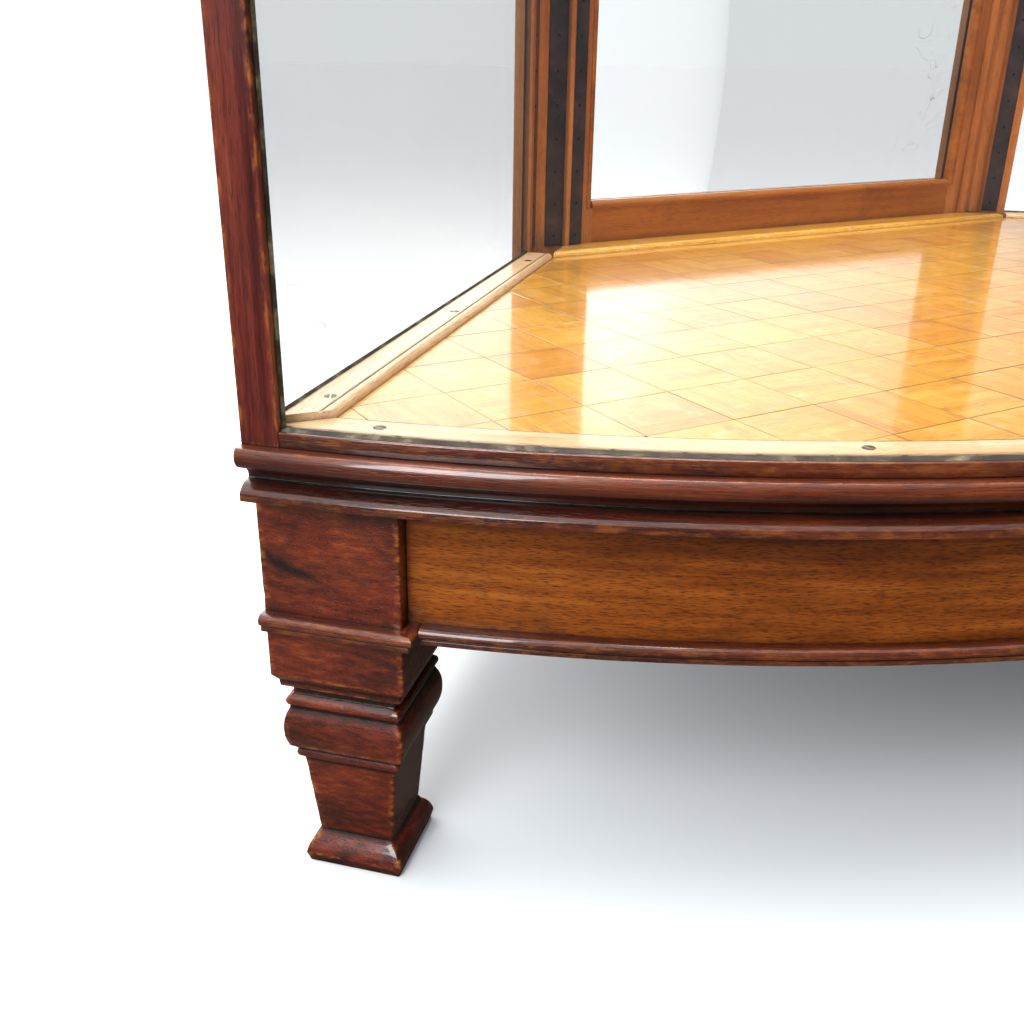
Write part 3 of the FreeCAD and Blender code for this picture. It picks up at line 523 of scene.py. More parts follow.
linseedPutty = plainMaterial("linseedPuttyAged", {
    "blotch": 60, "grit": 900, "stops": [(0.35, "#1d1812"), (0.52, "#3a3326"), (0.70, "#7d7662")],
    "speck": 0.5, "speckColour": "#14100b", "rough": 0.6, "metallic": 0.0})
pineBoard = plainMaterial("pineSawnStained", {
    "blotch": 18, "grit": 350, "stops": [(0.35, "#5c3a20"), (0.55, "#7a512f"), (0.7, "#946a42")],
    "speck": 0.4, "speckColour": "#3b2414", "rough": 0.75, "metallic": 0.0})


def plateGlass(name, look):
    # old float-polished plate: clear, a faint green cast at its edges, hairline scratches and dust
    material, tree = newMaterial(name)
    place = addNode(tree, "ShaderNodeTexCoord").outputs["Object"]
    known = {"facing": addNode(tree, "ShaderNodeLayerWeight", {"Blend": 0.35}).outputs["Fresnel"]}
    for label, kind, settings, output in (
        ("clouds", "ShaderNodeTexNoise", {"Scale": 3.0, "Detail": 3.0, "Roughness": 0.6}, "Fac"),
        ("dust", "ShaderNodeTexVoronoi", {"Scale": 38.0, "Randomness": 1.0}, "Distance"),
        ("hair", "ShaderNodeTexNoise", {"Scale": 14.0, "Detail": 1.0, "Distortion": 1.5}, "Fac"),
    ):
        known[label] = addNode(tree, kind, settings, {"Vector": place}).outputs[output]
    addNodes(tree, known, (
        ("speck", "MapRange", {}, ("dust", 0.035, 0.02, 0.0, 1.0)),
        ("dusty", "MapRange", {}, ("clouds", 0.56, 0.60, 0.0, 1.0)),
        ("specks", "Math", times, ("speck", "dusty")),
        ("centred", "Math", minus, ("hair", 0.5)),
        ("line", "Math", {"operation": "ABSOLUTE"}, ("centred", 0.0)),
        ("scratch", "MapRange", {}, ("line", 0.0012, 0.0004, 0.0, 1.0)),
        ("handled", "MapRange", {}, ("clouds", 0.60, 0.64, 0.0, 1.0)),
        ("scratches", "Math", {**times, **held}, ("scratch", "handled")),
        ("marks", "Math", greater, ("specks", "scratches")),
        ("edgeOn", "Math", times, ("facing", 0.3)),
        ("clear", "Math", plus, ("edgeOn", look["haze"])),
        ("marked", "Math", times, ("marks", 0.35)),
        ("alpha", "Math", {**plus, **held}, ("clear", "marked")),
    ))
    shader = addNode(tree, "ShaderNodeBsdfPrincipled",
                     {"Base Color": linear(look["tint"]), "Roughness": 0.03, "IOR": 1.52,
                      "Specular IOR Level": 0.5},
                     {"Alpha": known["alpha"]})
    addNode(tree, "ShaderNodeOutputMaterial", {}, {"Surface": shader.outputs["BSDF"]})
    return material


clearGlass = plateGlass("plateGlassPolished", {"tint": "#5c6a70", "haze": 0.05})
print("materials: metal, putty and glass made")

legLook = {"corner": 1.6, "foot": 35.0, "blockFoot": 168.0, "cushion": 82.8, "ankle": 53.0, "ringStep": 7.0}


def legProfile():
    half, pad = case["block"] / 2, legLook["cushion"] / 2
    ankle, foot = legLook["ankle"] / 2, legLook["foot"]
    return [
        (0, -case["baseDrop"]), (half, -case["baseDrop"]), (half, -legLook["blockFoot"]),
        (half - 3.5, -173.0), (half - 4, -177.5), (half - 10, -180), (half - 10, -185),
        (half - 7.5, -187), ((half - 5.6, -190.5), (half - 7.5, -194)), (half - 7.5, -196),
        (pad - 2, -200), ((pad, -210), (pad - 2.5, -225)), (pad - 6.5, -229),
        ((pad - 5.5, -232.5), (pad - 8, -236)), (pad - 9.5, -238), (ankle, -300), (ankle + 2, -304),
        ((foot - 3, -308.5), (foot, -317)), (foot - 2, -floorZ), (0, -floorZ),
    ]


def spaced(outline, step):
    # adds points on the long straight stretches
    result = []
    for here, after in zip(outline, outline[1:] + outline[:1]):
        result.append(here)
        gap = math.hypot(after[0] - here[0], after[1] - here[1])
        parts = int(gap // step)
        for index in range(1, parts + 1):
            share = index / (parts + 1)
            result.append(tuple(a + (b - a) * share for a, b in zip(here, after)))
    return result


def legMesh(name, centre, turn, seed):
    outline = softened(traced(legProfile(), 6), 0.9, 2.5)
    rings = [item for item in spaced(outline, legLook["ringStep"]) if item[0] > 12]
    points, grain, wear = [], [], []
    angle = math.radians(turn)
    cosA, sinA = math.cos(angle), math.sin(angle)
    for half, height, worn in rings:
        # the corners are rubbed away unevenly
        rub = legLook["corner"] * (0.7 + 1.3 * max(0.0, noise.noise(Vector((seed, height / 9, 0)))))
        ring = []
        for quarterTurn in range(4):
            a = quarterTurn * math.pi / 2
            c, s = round(math.cos(a)), round(math.sin(a))
            reach = half - rub
            local = [(half, -reach * 0.35, 0.0), (half, reach * 0.35, 0.0), (half, reach - 4.0, 0.0)]
            for share in (0.0, 0.34, 0.67, 1.0):
                b = share * math.pi / 2
                local.append((reach + rub * math.cos(b), reach + rub * math.sin(b), 1.0))
            local.append((reach - 4.0, half, 0.0))
            for lx, ly, edge in local:
                ring.append((lx * c - ly * s, lx * s + ly * c, edge))
        for x, y, edge in ring:
            px, py = x * cosA - y * sinA + centre[0], x * sinA + y * cosA + centre[1]
            points.append(Vector((px * mm, py * mm, (height + floorZ) * mm)))
            grain.append((x + y + seed * 97, height, (x - y) * 0.3 + seed * 41))
            wear.append(max(edge, worn) if worn >= 0 else min(worn + 0.3 * edge, 0.0))
    return meshOf(name, points, tubeFaces(len(rings), len(ring)), grain, wear)


halfBlock = case["block"] / 2
frontRun = seatRadius - halfBlock
frontOut = case["sidePlane"] - halfBlock
frontLegX = (frontRun + frontOut) * diagonal
frontLegY = apexY - (frontRun - frontOut) * diagonal
backOuter = case["backInner"] - 24.0
backLegX = backOuter + case["sidePlane"] / diagonal - halfBlock
backLegY = apexY - backOuter - halfBlock
legPlaces = {
    "leg_front_left": ((-frontLegX, frontLegY), -45.0, 1.0),
    "leg_front_right": ((frontLegX, frontLegY), 45.0, 2.0),
    "leg_front_centre": ((0.0, apexY - frontRun), 0.0, 3.0),
    "leg_back_left": ((-backLegX, backLegY), 0.0, 4.0),
    "leg_back_right": ((backLegX, backLegY), 0.0, 5.0),
}
for nodeName, (centre, turn, seed) in legPlaces.items():
    made = finishPiece("turned_" + nodeName, legMesh(nodeName + "_mesh", centre, turn, seed), legWood,
                       bevel=0, replaced=(nodeName,))
print("legs made")

side45 = math.radians(45)


def bowedMesh(name, steps, first, last, seed, radius=0.8, step=16.0, fade=3.0):
    outline = softened(traced(steps, 7), radius, fade)
    length = faceRadius * (last(faceRadius) - first(faceRadius))
    shares = sweptShares(length, step)

    def place(u, v, share):
        start, end = first(u), last(u)
        return bowSpot(u, v, start + (end - start) * share)
    return sweptMesh(name, outline, place, shares, length, seed)


def leftEnd(out):
    return lambda r: -side45 - math.asin(out / r)


def rightEnd(out):
    return lambda r: side45 + math.asin(out / r)


noseBottom = case["shoulder"] + 14.0
nosingSteps = [
    (seatRadius, -noseBottom), (faceRadius + 2, -noseBottom), (faceRadius + 6.5, 2 - noseBottom),
    ((faceRadius + 10, -15.0), (faceRadius + 7.5, -9.0)), (seatRadius, -9.0),
]
out = case["sidePlane"]
nosing = finishPiece("nosing", bowedMesh("nosing_mesh", nosingSteps, leftEnd(out), rightEnd(out), 11),
                     mouldingWood, replaced=("base_nosing_front",))
drop = case["baseDrop"]
mouldingSteps = [
    (seatRadius, -drop), (faceRadius + 6.8, -drop), (faceRadius + 6.8, 5 - drop),
    ((faceRadius + 3, 8.5 - drop), (faceRadius - 4.5, -noseBottom - 8.5)),
    (faceRadius - 5.5, -noseBottom - 7.5),
    ((faceRadius - 4, -noseBottom - 3), (faceRadius + 1.5, -noseBottom)),
    (seatRadius, -noseBottom),
]
moulding = finishPiece("ovolo_moulding",
                       bowedMesh("moulding_mesh", mouldingSteps, leftEnd(out), rightEnd(out), 777),
                       mouldingWood, replaced=("base_moulding_front",))

railSteps = [
    (bowRadius - 30, -drop), (seatRadius, -drop), (seatRadius, -9), (faceRadius, -9), (faceRadius, 0),
    (glassOuter + 4, 0), (glassOuter + 4, -6), (bowRadius, -6), (bowRadius, -8), (bowRadius - 14, -8),
    (bowRadius - 14, -22), (bowRadius - 30, -22),
]
inside = -case["postInside"]
frontRail = finishPiece("front_sill_rail",
                        bowedMesh("rail_mesh", railSteps, leftEnd(inside), rightEnd(inside), 1501),
                        mouldingWood, replaced=("bottom_rail_front",))

apronOut = case["sidePlane"] - case["block"]
apronBack, apronLow = apronFace - 20, -133
apronSteps = [(apronBack, apronLow), (apronFace, apronLow), (apronFace, -drop), (apronBack, -drop)]
beadTop, beadOut = 121.0, case["beadOut"]


def beadSteps(face):
    return [
        (face, -beadTop), (face + beadOut - 4, -beadTop),
        ((face + beadOut, -beadTop - 4), (face + beadOut - 4, -beadTop - 8)),
        (face + beadOut - 3, -beadTop - 8.8), (face + beadOut - 3, -beadTop - 12), (face, -beadTop - 12),
    ]


def centreEnd(reach, side):
    return lambda r: side * math.asin(reach / r)


for label, ends, beadEnds, seed in (
    ("left", (leftEnd(apronOut), centreEnd(halfBlock, -1)),
     (leftEnd(apronOut - beadOut), centreEnd(halfBlock + beadOut, -1)), 2003),
    ("right", (centreEnd(halfBlock, 1), rightEnd(apronOut)),
     (centreEnd(halfBlock + beadOut, 1), rightEnd(apronOut - beadOut)), 3001),
):
    apron = finishPiece("bow_apron_" + label,
                        bowedMesh("apron_mesh_" + label, apronSteps, *ends, seed, step=20.0),
                        apronWood, replaced=("apron_front_" + label,))
    bead = finishPiece("bow_apron_bead_" + label,
                       bowedMesh("bead_mesh_" + label, beadSteps(apronFace), *beadEnds, seed + 500,
                                 radius=0.6),
                       mouldingWood, replaced=("apron_bead_front",))

corniceFace = faceRadius + 9.0
corniceLow, corniceTop = 570, 590
corniceSteps = [
    (faceRadius, corniceLow), (faceRadius + 2, corniceLow),
    ((faceRadius + 4, corniceLow + 6), (corniceFace - 1, corniceLow + 9)),
    (corniceFace, corniceLow + 9), ((corniceFace + 0.9, corniceLow + 13), (corniceFace, corniceTop - 3)),
    (corniceFace - 3, corniceTop), (faceRadius, corniceTop),
]
cornice = finishPiece("cornice_moulding",
                      bowedMesh("cornice_mesh", corniceSteps, leftEnd(out), rightEnd(out), 4001),
                      mouldingWood, replaced=("top_moulding_front",))

puttyOut, puttyLow = glassOuter + 4, -6
puttySteps = [(glassOuter, puttyLow), (puttyOut, puttyLow), (puttyOut, 0), (glassOuter, 1.5)]
putty = finishPiece("putty_line",
                    bowedMesh("putty_mesh", puttySteps, leftEnd(inside), rightEnd(inside), 9, radius=0.3),
                    linseedPutty, bevel=0, replaced=("front_putty",))
print("bowed pieces made")


# beads that wrap the leg blocks, mitred at the corners
def wrapMesh(name, path, centre, turn, seed):
    outline = softened([Vector((x - halfBlock, z)) for x, z in traced(beadSteps(halfBlock), 7)], 0.6, 2.0)
    angle = math.radians(turn)
    cosA, sinA = math.cos(angle), math.sin(angle)
    corners = [Vector(corner) for corner in path]
    normals = [Vector((b.y - a.y, a.x - b.x)).normalized() for a, b in zip(corners, corners[1:])]
    mitres = [(a + b) / (1 + a.dot(b)) for a, b in zip(normals[:1] + normals, normals + normals[-1:])]
    rings, run = [(corners[0], mitres[0], 0.0, 1.0)], 0.0
    for index in range(1, len(corners)):
        last, here = corners[index - 1], corners[index]
        length = (here - last).length
        for share in (3.0 / length, 0.5, 1 - 3.0 / length):
            mitre = mitres[index - 1].lerp(mitres[index], share)
            rings.append((last.lerp(here, share), mitre, run + length * share, 0.0))
        run += length
        rings.append((here, mitres[index], run, 1.0))
    points, grain, wear = [], [], []
    for here, mitre, along, edge in rings:
        for offset, height, worn in outline:
            flat = here + mitre * offset
            x, y = flat.x * cosA - flat.y * sinA + centre[0], flat.x * sinA + flat.y * cosA + centre[1]
            points.append(Vector((x * mm, y * mm, (height + floorZ) * mm)))
            grain.append((along + seed, height, offset))
            wear.append(max(worn, edge) if worn >= 0 else worn)
    return meshOf(name, points, tubeFaces(len(rings), len(outline)), grain, wear)


flankEnd = -halfBlock + case["apronSetback"] + 2.0
h = halfBlock
leftPath = [(-h, -h), (h, -h), (h, flankEnd)]
rightPath = [(-h, flankEnd), (-h, -h), (h, -h)]
centrePath = [(-h, flankEnd), (-h, -h), (h, -h), (h, flankEnd)]
wraps = joined("block_bead_mesh", [
    wrapMesh("wrap_left", leftPath, legPlaces["leg_front_left"][0], -45, 60),
    wrapMesh("wrap_right", rightPath, legPlaces["leg_front_right"][0], 45, 260),
    wrapMesh("wrap_centre", centrePath, legPlaces["leg_front_centre"][0], 0, 460),
])
wrapPiece = finishPiece("block_beads", wraps, mouldingWood, replaced=("leg_block_beads",))

postSize = {"width": 24.0, "flange": 7.0}


def postMesh(name, side, seed):
    face, depth = faceRadius, postSize["width"]
    plane, within = case["sidePlane"], -case["postInside"]
    corner, flange = glassOuter + 1.0, plane - postSize["flange"]
    plan = [(face - depth, flange), (face - depth, plane), (face, plane), (face, within),
            (corner, within), (corner, flange)]
    low = [(face - depth, within), (face - depth, plane), (seatRadius, plane), (seatRadius, within)]
    parts = []
    for label, corners, bottom, top in (("up", plan, -case["shoulder"], case["topUnderside"]),
                                        ("low", low, -case["baseDrop"], -case["shoulder"] - 0.2)):
        outline = softened([Vector(c) for c in corners], 1.0, 3.0)

        def place(u, v, share):
            return sideSpot(u, v, bottom + (top - bottom) * share, side)
        shares = sweptShares(top - bottom, 14.0)
        parts.append(sweptMesh(name + label, outline, place, shares, top - bottom, seed))
    return joined(name, parts)


for label, side, seed in (("left", -1, 5003), ("right", 1, 6007)):
    post = finishPiece("corner_post_" + label, postMesh("post_mesh_" + label, side, seed), postWood,
                       replaced=("post_front_" + label,))
print("posts made")

tile = {"size": 63.75, "xShift": 14.7, "yShift": 10.18, "gap": 0.25, "chamfer": 0.35, "smallest": 20,
        "seed": 7}


def clipped(polygon, normal, limit):
    # keeps the part of a polygon with point . normal <= limit
    result = []
    for index, here in enumerate(polygon):
        before = polygon[index - 1]
        a, b = before.dot(normal) - limit, here.dot(normal) - limit
        if (a <= 0) != (b <= 0):
            result.append(before + (here - before) * (a / (a - b)))
        if b <= 0:
            result.append(here)
    return result


def tileMesh():
    draw = random.Random(tile["seed"])
    pitch = tile["size"]
    outLimit = -case["filletWidth"] - tile["gap"]
    backLimit = case["backInner"] + case["backFillet"]
    points, faces, grain, wear, tints = [], [], [], [], []
    chords = [side45 * (-1.02 + 2.04 * i / 150) for i in range(151)]
    reach = borderInner * math.cos(chords[1] / 2 - chords[0] / 2) - tile["gap"]
    for column in range(-14, 15):
        for row in range(-10, 14):
            x0, y0 = column * pitch + tile["xShift"], row * pitch + tile["yShift"]
            g = tile["gap"] / 2
            # plan coordinates: x, and distance in front of the apex
            d0 = apexY - y0
            shape = [Vector((x0 + g, d0 - g)), Vector((x0 + pitch - g, d0 - g)),
                     Vector((x0 + pitch - g, d0 - pitch + g)), Vector((x0 + g, d0 - pitch + g))]
            kind = (column + row) % 2
            tint, shiftA, shiftB = draw.random(), draw.uniform(0, 900), draw.uniform(0, 300)
            shape = clipped(shape, Vector((-diagonal, -diagonal)), outLimit)
            shape = clipped(shape, Vector((diagonal, -diagonal)), outLimit)
            shape = clipped(shape, Vector((0, -1)), -backLimit)
            for turn in chords:
                if len(shape) > 2:
                    shape = clipped(shape, Vector((math.sin(turn), math.cos(turn))), reach)
            if len(shape) < 3:
                continue
            twice = sum(a.x * b.y - b.x * a.y for a, b in zip(shape[-1:] + shape[:-1], shape))
            if abs(twice) / 2 < tile["smallest"]:
                continue
            middle = sum(shape, Vector((0, 0))) / len(shape)
            start, size = len(points), len(shape)
            lift, depth = draw.uniform(-0.12, 0.0), draw.uniform(0.0, 1.3)
            for inset, height, worn in ((0.0, -case["parquet"], -1), (0.0, lift - tile["chamfer"], -1),
                                        (tile["chamfer"], lift, -0.4), (tile["chamfer"] + 1.2, lift, 0.0)):
                for corner in shape:
                    pull = middle - corner
                    place = corner + pull.normalized() * min(inset * 1.4, pull.length * 0.3)
                    points.append(spot(place.x, place.y, height))
                    a, b = (place.x, place.y) if kind else (place.y, place.x)
                    grain.append((a + shiftA, b + shiftB, tint * 90))
                    wear.append(worn * depth if worn > -1 else worn)
                    tints.append(tint)
            for ring in range(3):
                for i in range(size):
                    j = (i + 1) % size
                    a, b = start + ring * size, start + (ring + 1) * size
                    faces.append((a + i, a + j, b + j, b + i))
            faces.append(tuple(start + i for i in range(size)))
            faces.append(tuple(start + 3 * size + i for i in range(size)))
    mesh = meshOf("parquet_mesh", points, faces, grain, wear)
    layer = mesh.attributes.new("tint", "FLOAT", "POINT")
    layer.data.foreach_set("value", tints)
    return mesh


parquet = finishPiece("parquet_blocks", tileMesh(), tileOak, bevel=0, replaced=("parquet_floor",))


def slanted(side):
    # the border is cut off along the slanted ends of the side fillets
    def end(r):
        share = (bowRadius - 0.4 - r) / case["border"]
        return side * (side45 + math.asin((-0.4 - (case["filletWidth"] - 0.4) * share) / r))
    return end


borderSteps = [(borderInner + 0.3, -8), (bowRadius, -8), (bowRadius, 0), (borderInner + 0.3, 0)]
border = finishPiece("front_floor_border",
                     bowedMesh("border_mesh", borderSteps, slanted(-1), slanted(1), 40, radius=0.4),
                     filletOak, replaced=("floor_border_front",))

filletSteps = [
    (-28, -8), (-0.4, -8), (-0.4, 5), (-19, 5), (-20, 4), ((-24, 5), (-28, 0)),
]
for label, side, seed in (("left", -1, 70), ("right", 1, 570)):
    outline = softened(traced(filletSteps, 6), 0.5, 2.0)
    runLength = borderInner - case["sideStart"]

    def place(u, v, share):
        end = bowRadius - 0.6 + case["border"] * u / case["filletWidth"]
        return sideSpot(case["sideStart"] + (end - case["sideStart"]) * share, u, v, side)
    mesh = sweptMesh("fillet_mesh_" + label, outline, place, sweptShares(runLength, 25.0), runLength, seed)
    fillet = finishPiece("side_fillet_" + label, mesh, filletOak, replaced=("floor_fillet_" + label,))
print("floor made")

# dark lines of old putty where the side panes meet the fillets and the front pane meets the posts; at the
# posts they are also made near black to stand in for the shadow gap there (painted shade)
for label, side, seed in (("left", -1, 800), ("right", 1, 900)):
    lines = []
    low = softened([Vector(c) for c in ((-1.8, 4.8), (-0.05, 4.8), (-0.05, 7.2))], 0.3, 0.5)
    start, end = case["sideStart"], bowRadius - 1.0

    def place(u, v, share):
        return sideSpot(start + (end - start) * share, u, v, side)
    lines.append(sweptMesh("low_" + label, low, place, sweptShares(end - start, 40.0), end - start, seed))
    # painted shade: the upright lines at the post stand for the shadow gap between post and pane as well as
    # for the putty
    upright = softened([Vector(c) for c in ((glassOuter + 0.05, -10.2), (glassOuter + 2.4, -8.05),
                                            (glassOuter + 0.05, -8.05))], 0.3, 0.5)
    inner = softened([Vector(c) for c in ((bowRadius - 3.0, -0.05), (bowRadius - 0.5, -0.05),
                                          (bowRadius - 0.5, -2.6))], 0.3, 0.5)
    height = case["topUnderside"] - 2.0

    def placeUp(u, v, share):
        return sideSpot(u, v, 1.0 + height * share, side)
    lines.append(sweptMesh("up_" + label, upright, placeUp, sweptShares(height, 40.0), height, seed + 7))
    lines.append(sweptMesh("in_" + label, inner, placeUp, sweptShares(height, 40.0), height, seed + 9))
    made = finishPiece("pane_putty_" + label, joined("pane_putty_mesh_" + label, lines), linseedPutty,
                       bevel=0)


def newTree(name, sizes):
    tree = bpy.data.node_groups.new(name, "GeometryNodeTree")
    tree.interface.new_socket("Geometry", in_out="OUTPUT", socket_type="NodeSocketGeometry")
    tree.interface.new_socket("Geometry", in_out="INPUT", socket_type="NodeSocketGeometry")
    for label, kind in sizes:
        tree.interface.new_socket(label, in_out="INPUT", socket_type=kind)
    return tree, addNode(tree, "NodeGroupInput").outputs


def grown(name, mesh, tree, values, material, body="cabinet", replaced=()):
    # runs a tree on a mesh and keeps the result as a plain mesh
    carrier = bpy.data.objects.new(name + "_points", mesh)
    bpy.context.scene.collection.objects.link(carrier)
    modifier = carrier.modifiers.new("repeat", "NODES")
    modifier.node_group = tree
    for socket in tree.interface.items_tree:
        if socket.item_type == "SOCKET" and socket.in_out == "INPUT" and socket.name in values:
            modifier[socket.identifier] = values[socket.name]
    bpy.context.view_layer.update()
    graph = bpy.context.evaluated_depsgraph_get()
    result = bpy.data.meshes.new_from_object(carrier.evaluated_get(graph), depsgraph=graph)
    result.name = name + "_mesh"
    bpy.data.objects.remove(carrier)
    result.materials.clear()
    return finishPiece(name, result, material, body=body, bevel=0, replaced=replaced)


screwTree, given = newTree("slottedScrews", (
    ("Head radius", "NodeSocketFloat"), ("Head depth", "NodeSocketFloat"),
    ("Slot width", "NodeSocketFloat"), ("Slot depth", "NodeSocketFloat"), ("Finish", "NodeSocketMaterial"),
))
headShape = addNode(screwTree, "GeometryNodeMeshCylinder", {"Vertices": 40, "Side Segments": 1},
                    {"Radius": given["Head radius"], "Depth": given["Head depth"]})
sized = addNodes(screwTree, dict(given), (
    ("slotLong", "Math", times, ("Head radius", 3.0)),
    ("slotTall", "Math", times, ("Slot depth", 2.0)),
    ("headTop", "Math", times, ("Head depth", 0.5)),
))
slotSize = addNode(screwTree, "ShaderNodeCombineXYZ", {},
                   {"X": sized["slotLong"], "Y": given["Slot width"], "Z": sized["slotTall"]})
slotShape = addNode(screwTree, "GeometryNodeMeshCube", {}, {"Size": slotSize.outputs[0]})
slotPlace = addNode(screwTree, "ShaderNodeCombineXYZ", {}, {"Z": sized["headTop"]})
slotUp = addNode(screwTree, "GeometryNodeTransform", {}, {"Geometry": slotShape.outputs["Mesh"],
                                                          "Translation": slotPlace.outputs[0]})
cutHead = addNode(screwTree, "GeometryNodeMeshBoolean", {"operation": "DIFFERENCE"},
                  {"Mesh 1": headShape.outputs["Mesh"], "Mesh 2": slotUp.outputs["Geometry"]})
turnOf = addNode(screwTree, "GeometryNodeInputNamedAttribute",
                 {"data_type": "FLOAT_VECTOR", "Name": "turn"})
placed = addNode(screwTree, "GeometryNodeInstanceOnPoints", {},
                 {"Points": given["Geometry"], "Instance": cutHead.outputs["Mesh"],
                  "Rotation": turnOf.outputs["Attribute"]})
real = addNode(screwTree, "GeometryNodeRealizeInstances", {}, {"Geometry": placed.outputs[0]})
coloured = addNode(screwTree, "GeometryNodeSetMaterial", {},
                   {"Geometry": real.outputs[0], "Material": given["Finish"]})
addNode(screwTree, "NodeGroupOutput", {}, {"Geometry": coloured.outputs[0]})

screw = {"radius": 3.9, "depth": 2.0, "slot": 1.1, "slotDepth": 0.5, "margin": 23.4, "backMargin": 48.7,
         "borderTurn": 14.0, "rise": 5.0, "seed": 3}
draw = random.Random(screw["seed"])
screwSpots = []
frontScrew = borderInner - screw["margin"]
backScrew = case["sideStart"] + screw["backMargin"]
for run in (frontScrew, (frontScrew + backScrew) / 2, backScrew):
    for side in (-1, 1):
        screwSpots.append(sideSpot(run, -case["filletWidth"] / 2, screw["rise"] - 0.8, side))
for index in range(-3, 4):
    turn = math.radians(screw["borderTurn"] * index)
    screwSpots.append(bowSpot(bowRadius - case["border"] / 2, -0.8, turn))
screwMesh = bpy.data.meshes.new("screw_points")
screwMesh.from_pydata(screwSpots, [], [])
turns = screwMesh.attributes.new("turn", "FLOAT_VECTOR", "POINT")
lean, spin = 0.03, 3.1
turns.data.foreach_set("vector", [draw.uniform(low, high) for place in screwSpots
                                  for low, high in ((-lean, lean), (-lean, lean), (0, spin))])
screws = grown("floor_screws", screwMesh, screwTree,
               {"Head radius": screw["radius"] * mm, "Head depth": screw["depth"] * mm,
                "Slot width": screw["slot"] * mm, "Slot depth": screw["slotDepth"] * mm,
                "Finish": screwSteel},
               screwSteel, replaced=("fillet_screws",))

holeTree, given = newTree("perforations", (("Count", "NodeSocketInt"), ("Pitch", "NodeSocketFloat"),
                                           ("Radius", "NodeSocketFloat"), ("Depth", "NodeSocketFloat"),
                                           ("Finish", "NodeSocketMaterial")))
pitchStep = addNode(holeTree, "ShaderNodeCombineXYZ", {}, {"Z": given["Pitch"]})
row = addNode(holeTree, "GeometryNodeMeshLine", {},
              {"Count": given["Count"], "Offset": pitchStep.outputs[0]})
plug = addNode(holeTree, "GeometryNodeMeshCylinder", {"Vertices": 20, "Side Segments": 1},
               {"Radius": given["Radius"], "Depth": given["Depth"]})
strung = addNode(holeTree, "GeometryNodeInstanceOnPoints", {"Rotation": (math.radians(90), 0, 0)},
                 {"Points": row.outputs["Mesh"], "Instance": plug.outputs["Mesh"]})
real = addNode(holeTree, "GeometryNodeRealizeInstances", {}, {"Geometry": strung.outputs[0]})
# one row stands on each point of the carrier, turned to face out of its strip
turnOf = addNode(holeTree, "GeometryNodeInputNamedAttribute", {"data_type": "FLOAT_VECTOR", "Name": "turn"})
rows = addNode(holeTree, "GeometryNodeInstanceOnPoints", {},
               {"Points": given["Geometry"], "Instance": real.outputs[0],
                "Rotation": turnOf.outputs["Attribute"]})
real = addNode(holeTree, "GeometryNodeRealizeInstances", {}, {"Geometry": rows.outputs[0]})
coloured = addNode(holeTree, "GeometryNodeSetMaterial", {},
                   {"Geometry": real.outputs[0], "Material": given["Finish"]})
addNode(holeTree, "NodeGroupOutput", {}, {"Geometry": coloured.outputs[0]})

hole = {"radius": 1.78, "depth": 1.2, "pitch": 33.2, "first": 16.0, "count": 15}


def middleOf(nodeName):
    low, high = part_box(nodeName)
    return (low + high) / 2


rowSpots, rowTurns = [], []
firstZ = (floorZ + hole["first"]) * mm
for nodeName in ("shelf_strip_left_outer", "shelf_strip_left_inner"):
    low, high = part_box(nodeName)
    rowSpots.append(Vector(((low.x + high.x) / 2, high.y - hole["depth"] * mm / 2 - 0.0001, firstZ)))
    rowTurns.append((0, 0, 0))
for nodeName, turn in (("shelf_strip_left_side", 45), ("shelf_strip_right_side", -45)):
    middle = middleOf(nodeName)
    rowSpots.append(Vector((middle.x, middle.y, firstZ)))
    rowTurns.append((0, 0, math.radians(turn)))
rowMesh = bpy.data.meshes.new("hole_rows")
rowMesh.from_pydata(rowSpots, [], [])
turns = rowMesh.attributes.new("turn", "FLOAT_VECTOR", "POINT")
turns.data.foreach_set("vector", [v for item in rowTurns for v in item])
# painted shade: a near-black plug in every hole of the strips stands for the shadow inside it
holeShadows = grown("strip_hole_shadows", rowMesh, holeTree,
                {"Count": hole["count"], "Pitch": hole["pitch"] * mm, "Radius": hole["radius"] * mm,
                 "Depth": hole["depth"] * mm, "Finish": holeShade}, holeShade)
print("screws and perforations made")

finishes = {
    uprightWood: ("post_back_left", "post_back_right", "door_stop_left", "door_stop_right",
                  "door_stile_left", "door_stile_right"),
    levelWood: ("door_rail_top", "door_rail_bottom", "door_glazing_beads", "bottom_rail_back",
                "top_rail_back",
                "top_rail_front"),
    leftWood: ("bottom_rail_left", "top_rail_left"),
    rightWood: ("bottom_rail_right", "top_rail_right"),
    leftApron: ("apron_side_left",),
    rightApron: ("apron_side_right",),
    backApron: ("apron_back",),
    backOak: ("floor_fillet_back",),
    pineBoard: ("carcase_bottom",),
    japanned: ("shelf_strip_left_side", "shelf_strip_right_side", "shelf_strip_left_outer",
               "shelf_strip_left_inner", "shelf_brackets"),
    brass: ("door_knob", "lock_case", "lock_bolt", "key", "hinge_leaves_jamb", "hinge_leaves_door",
            "hinge_pins"),
    clearGlass: ("front_glass", "side_glass_left", "side_glass_right", "top_glass", "door_glass",
                 "glass_shelf"),
}
for material, names in finishes.items():
    for nodeName in names:
        mesh = nodes[nodeName].data
        mesh.materials.clear()
        mesh.materials.append(material)
print("finishes put on")

stage = {"half": 60.0, "wall": "#e9eff5", "bounce": "#55504b"}
floorMesh = bpy.data.meshes.new("studio_floor_mesh")
half = stage["half"]
floorCorners = [(-half, -half, 0), (half, -half, 0), (half, half, 0), (-half, half, 0)]
floorMesh.from_pydata(floorCorners, [], [(0, 1, 2, 3)])
studioFloor = bpy.data.objects.new("studio_floor", floorMesh)
bpy.context.scene.collection.objects.link(studioFloor)
paper, paperTree = newMaterial("paperMattBackdrop")
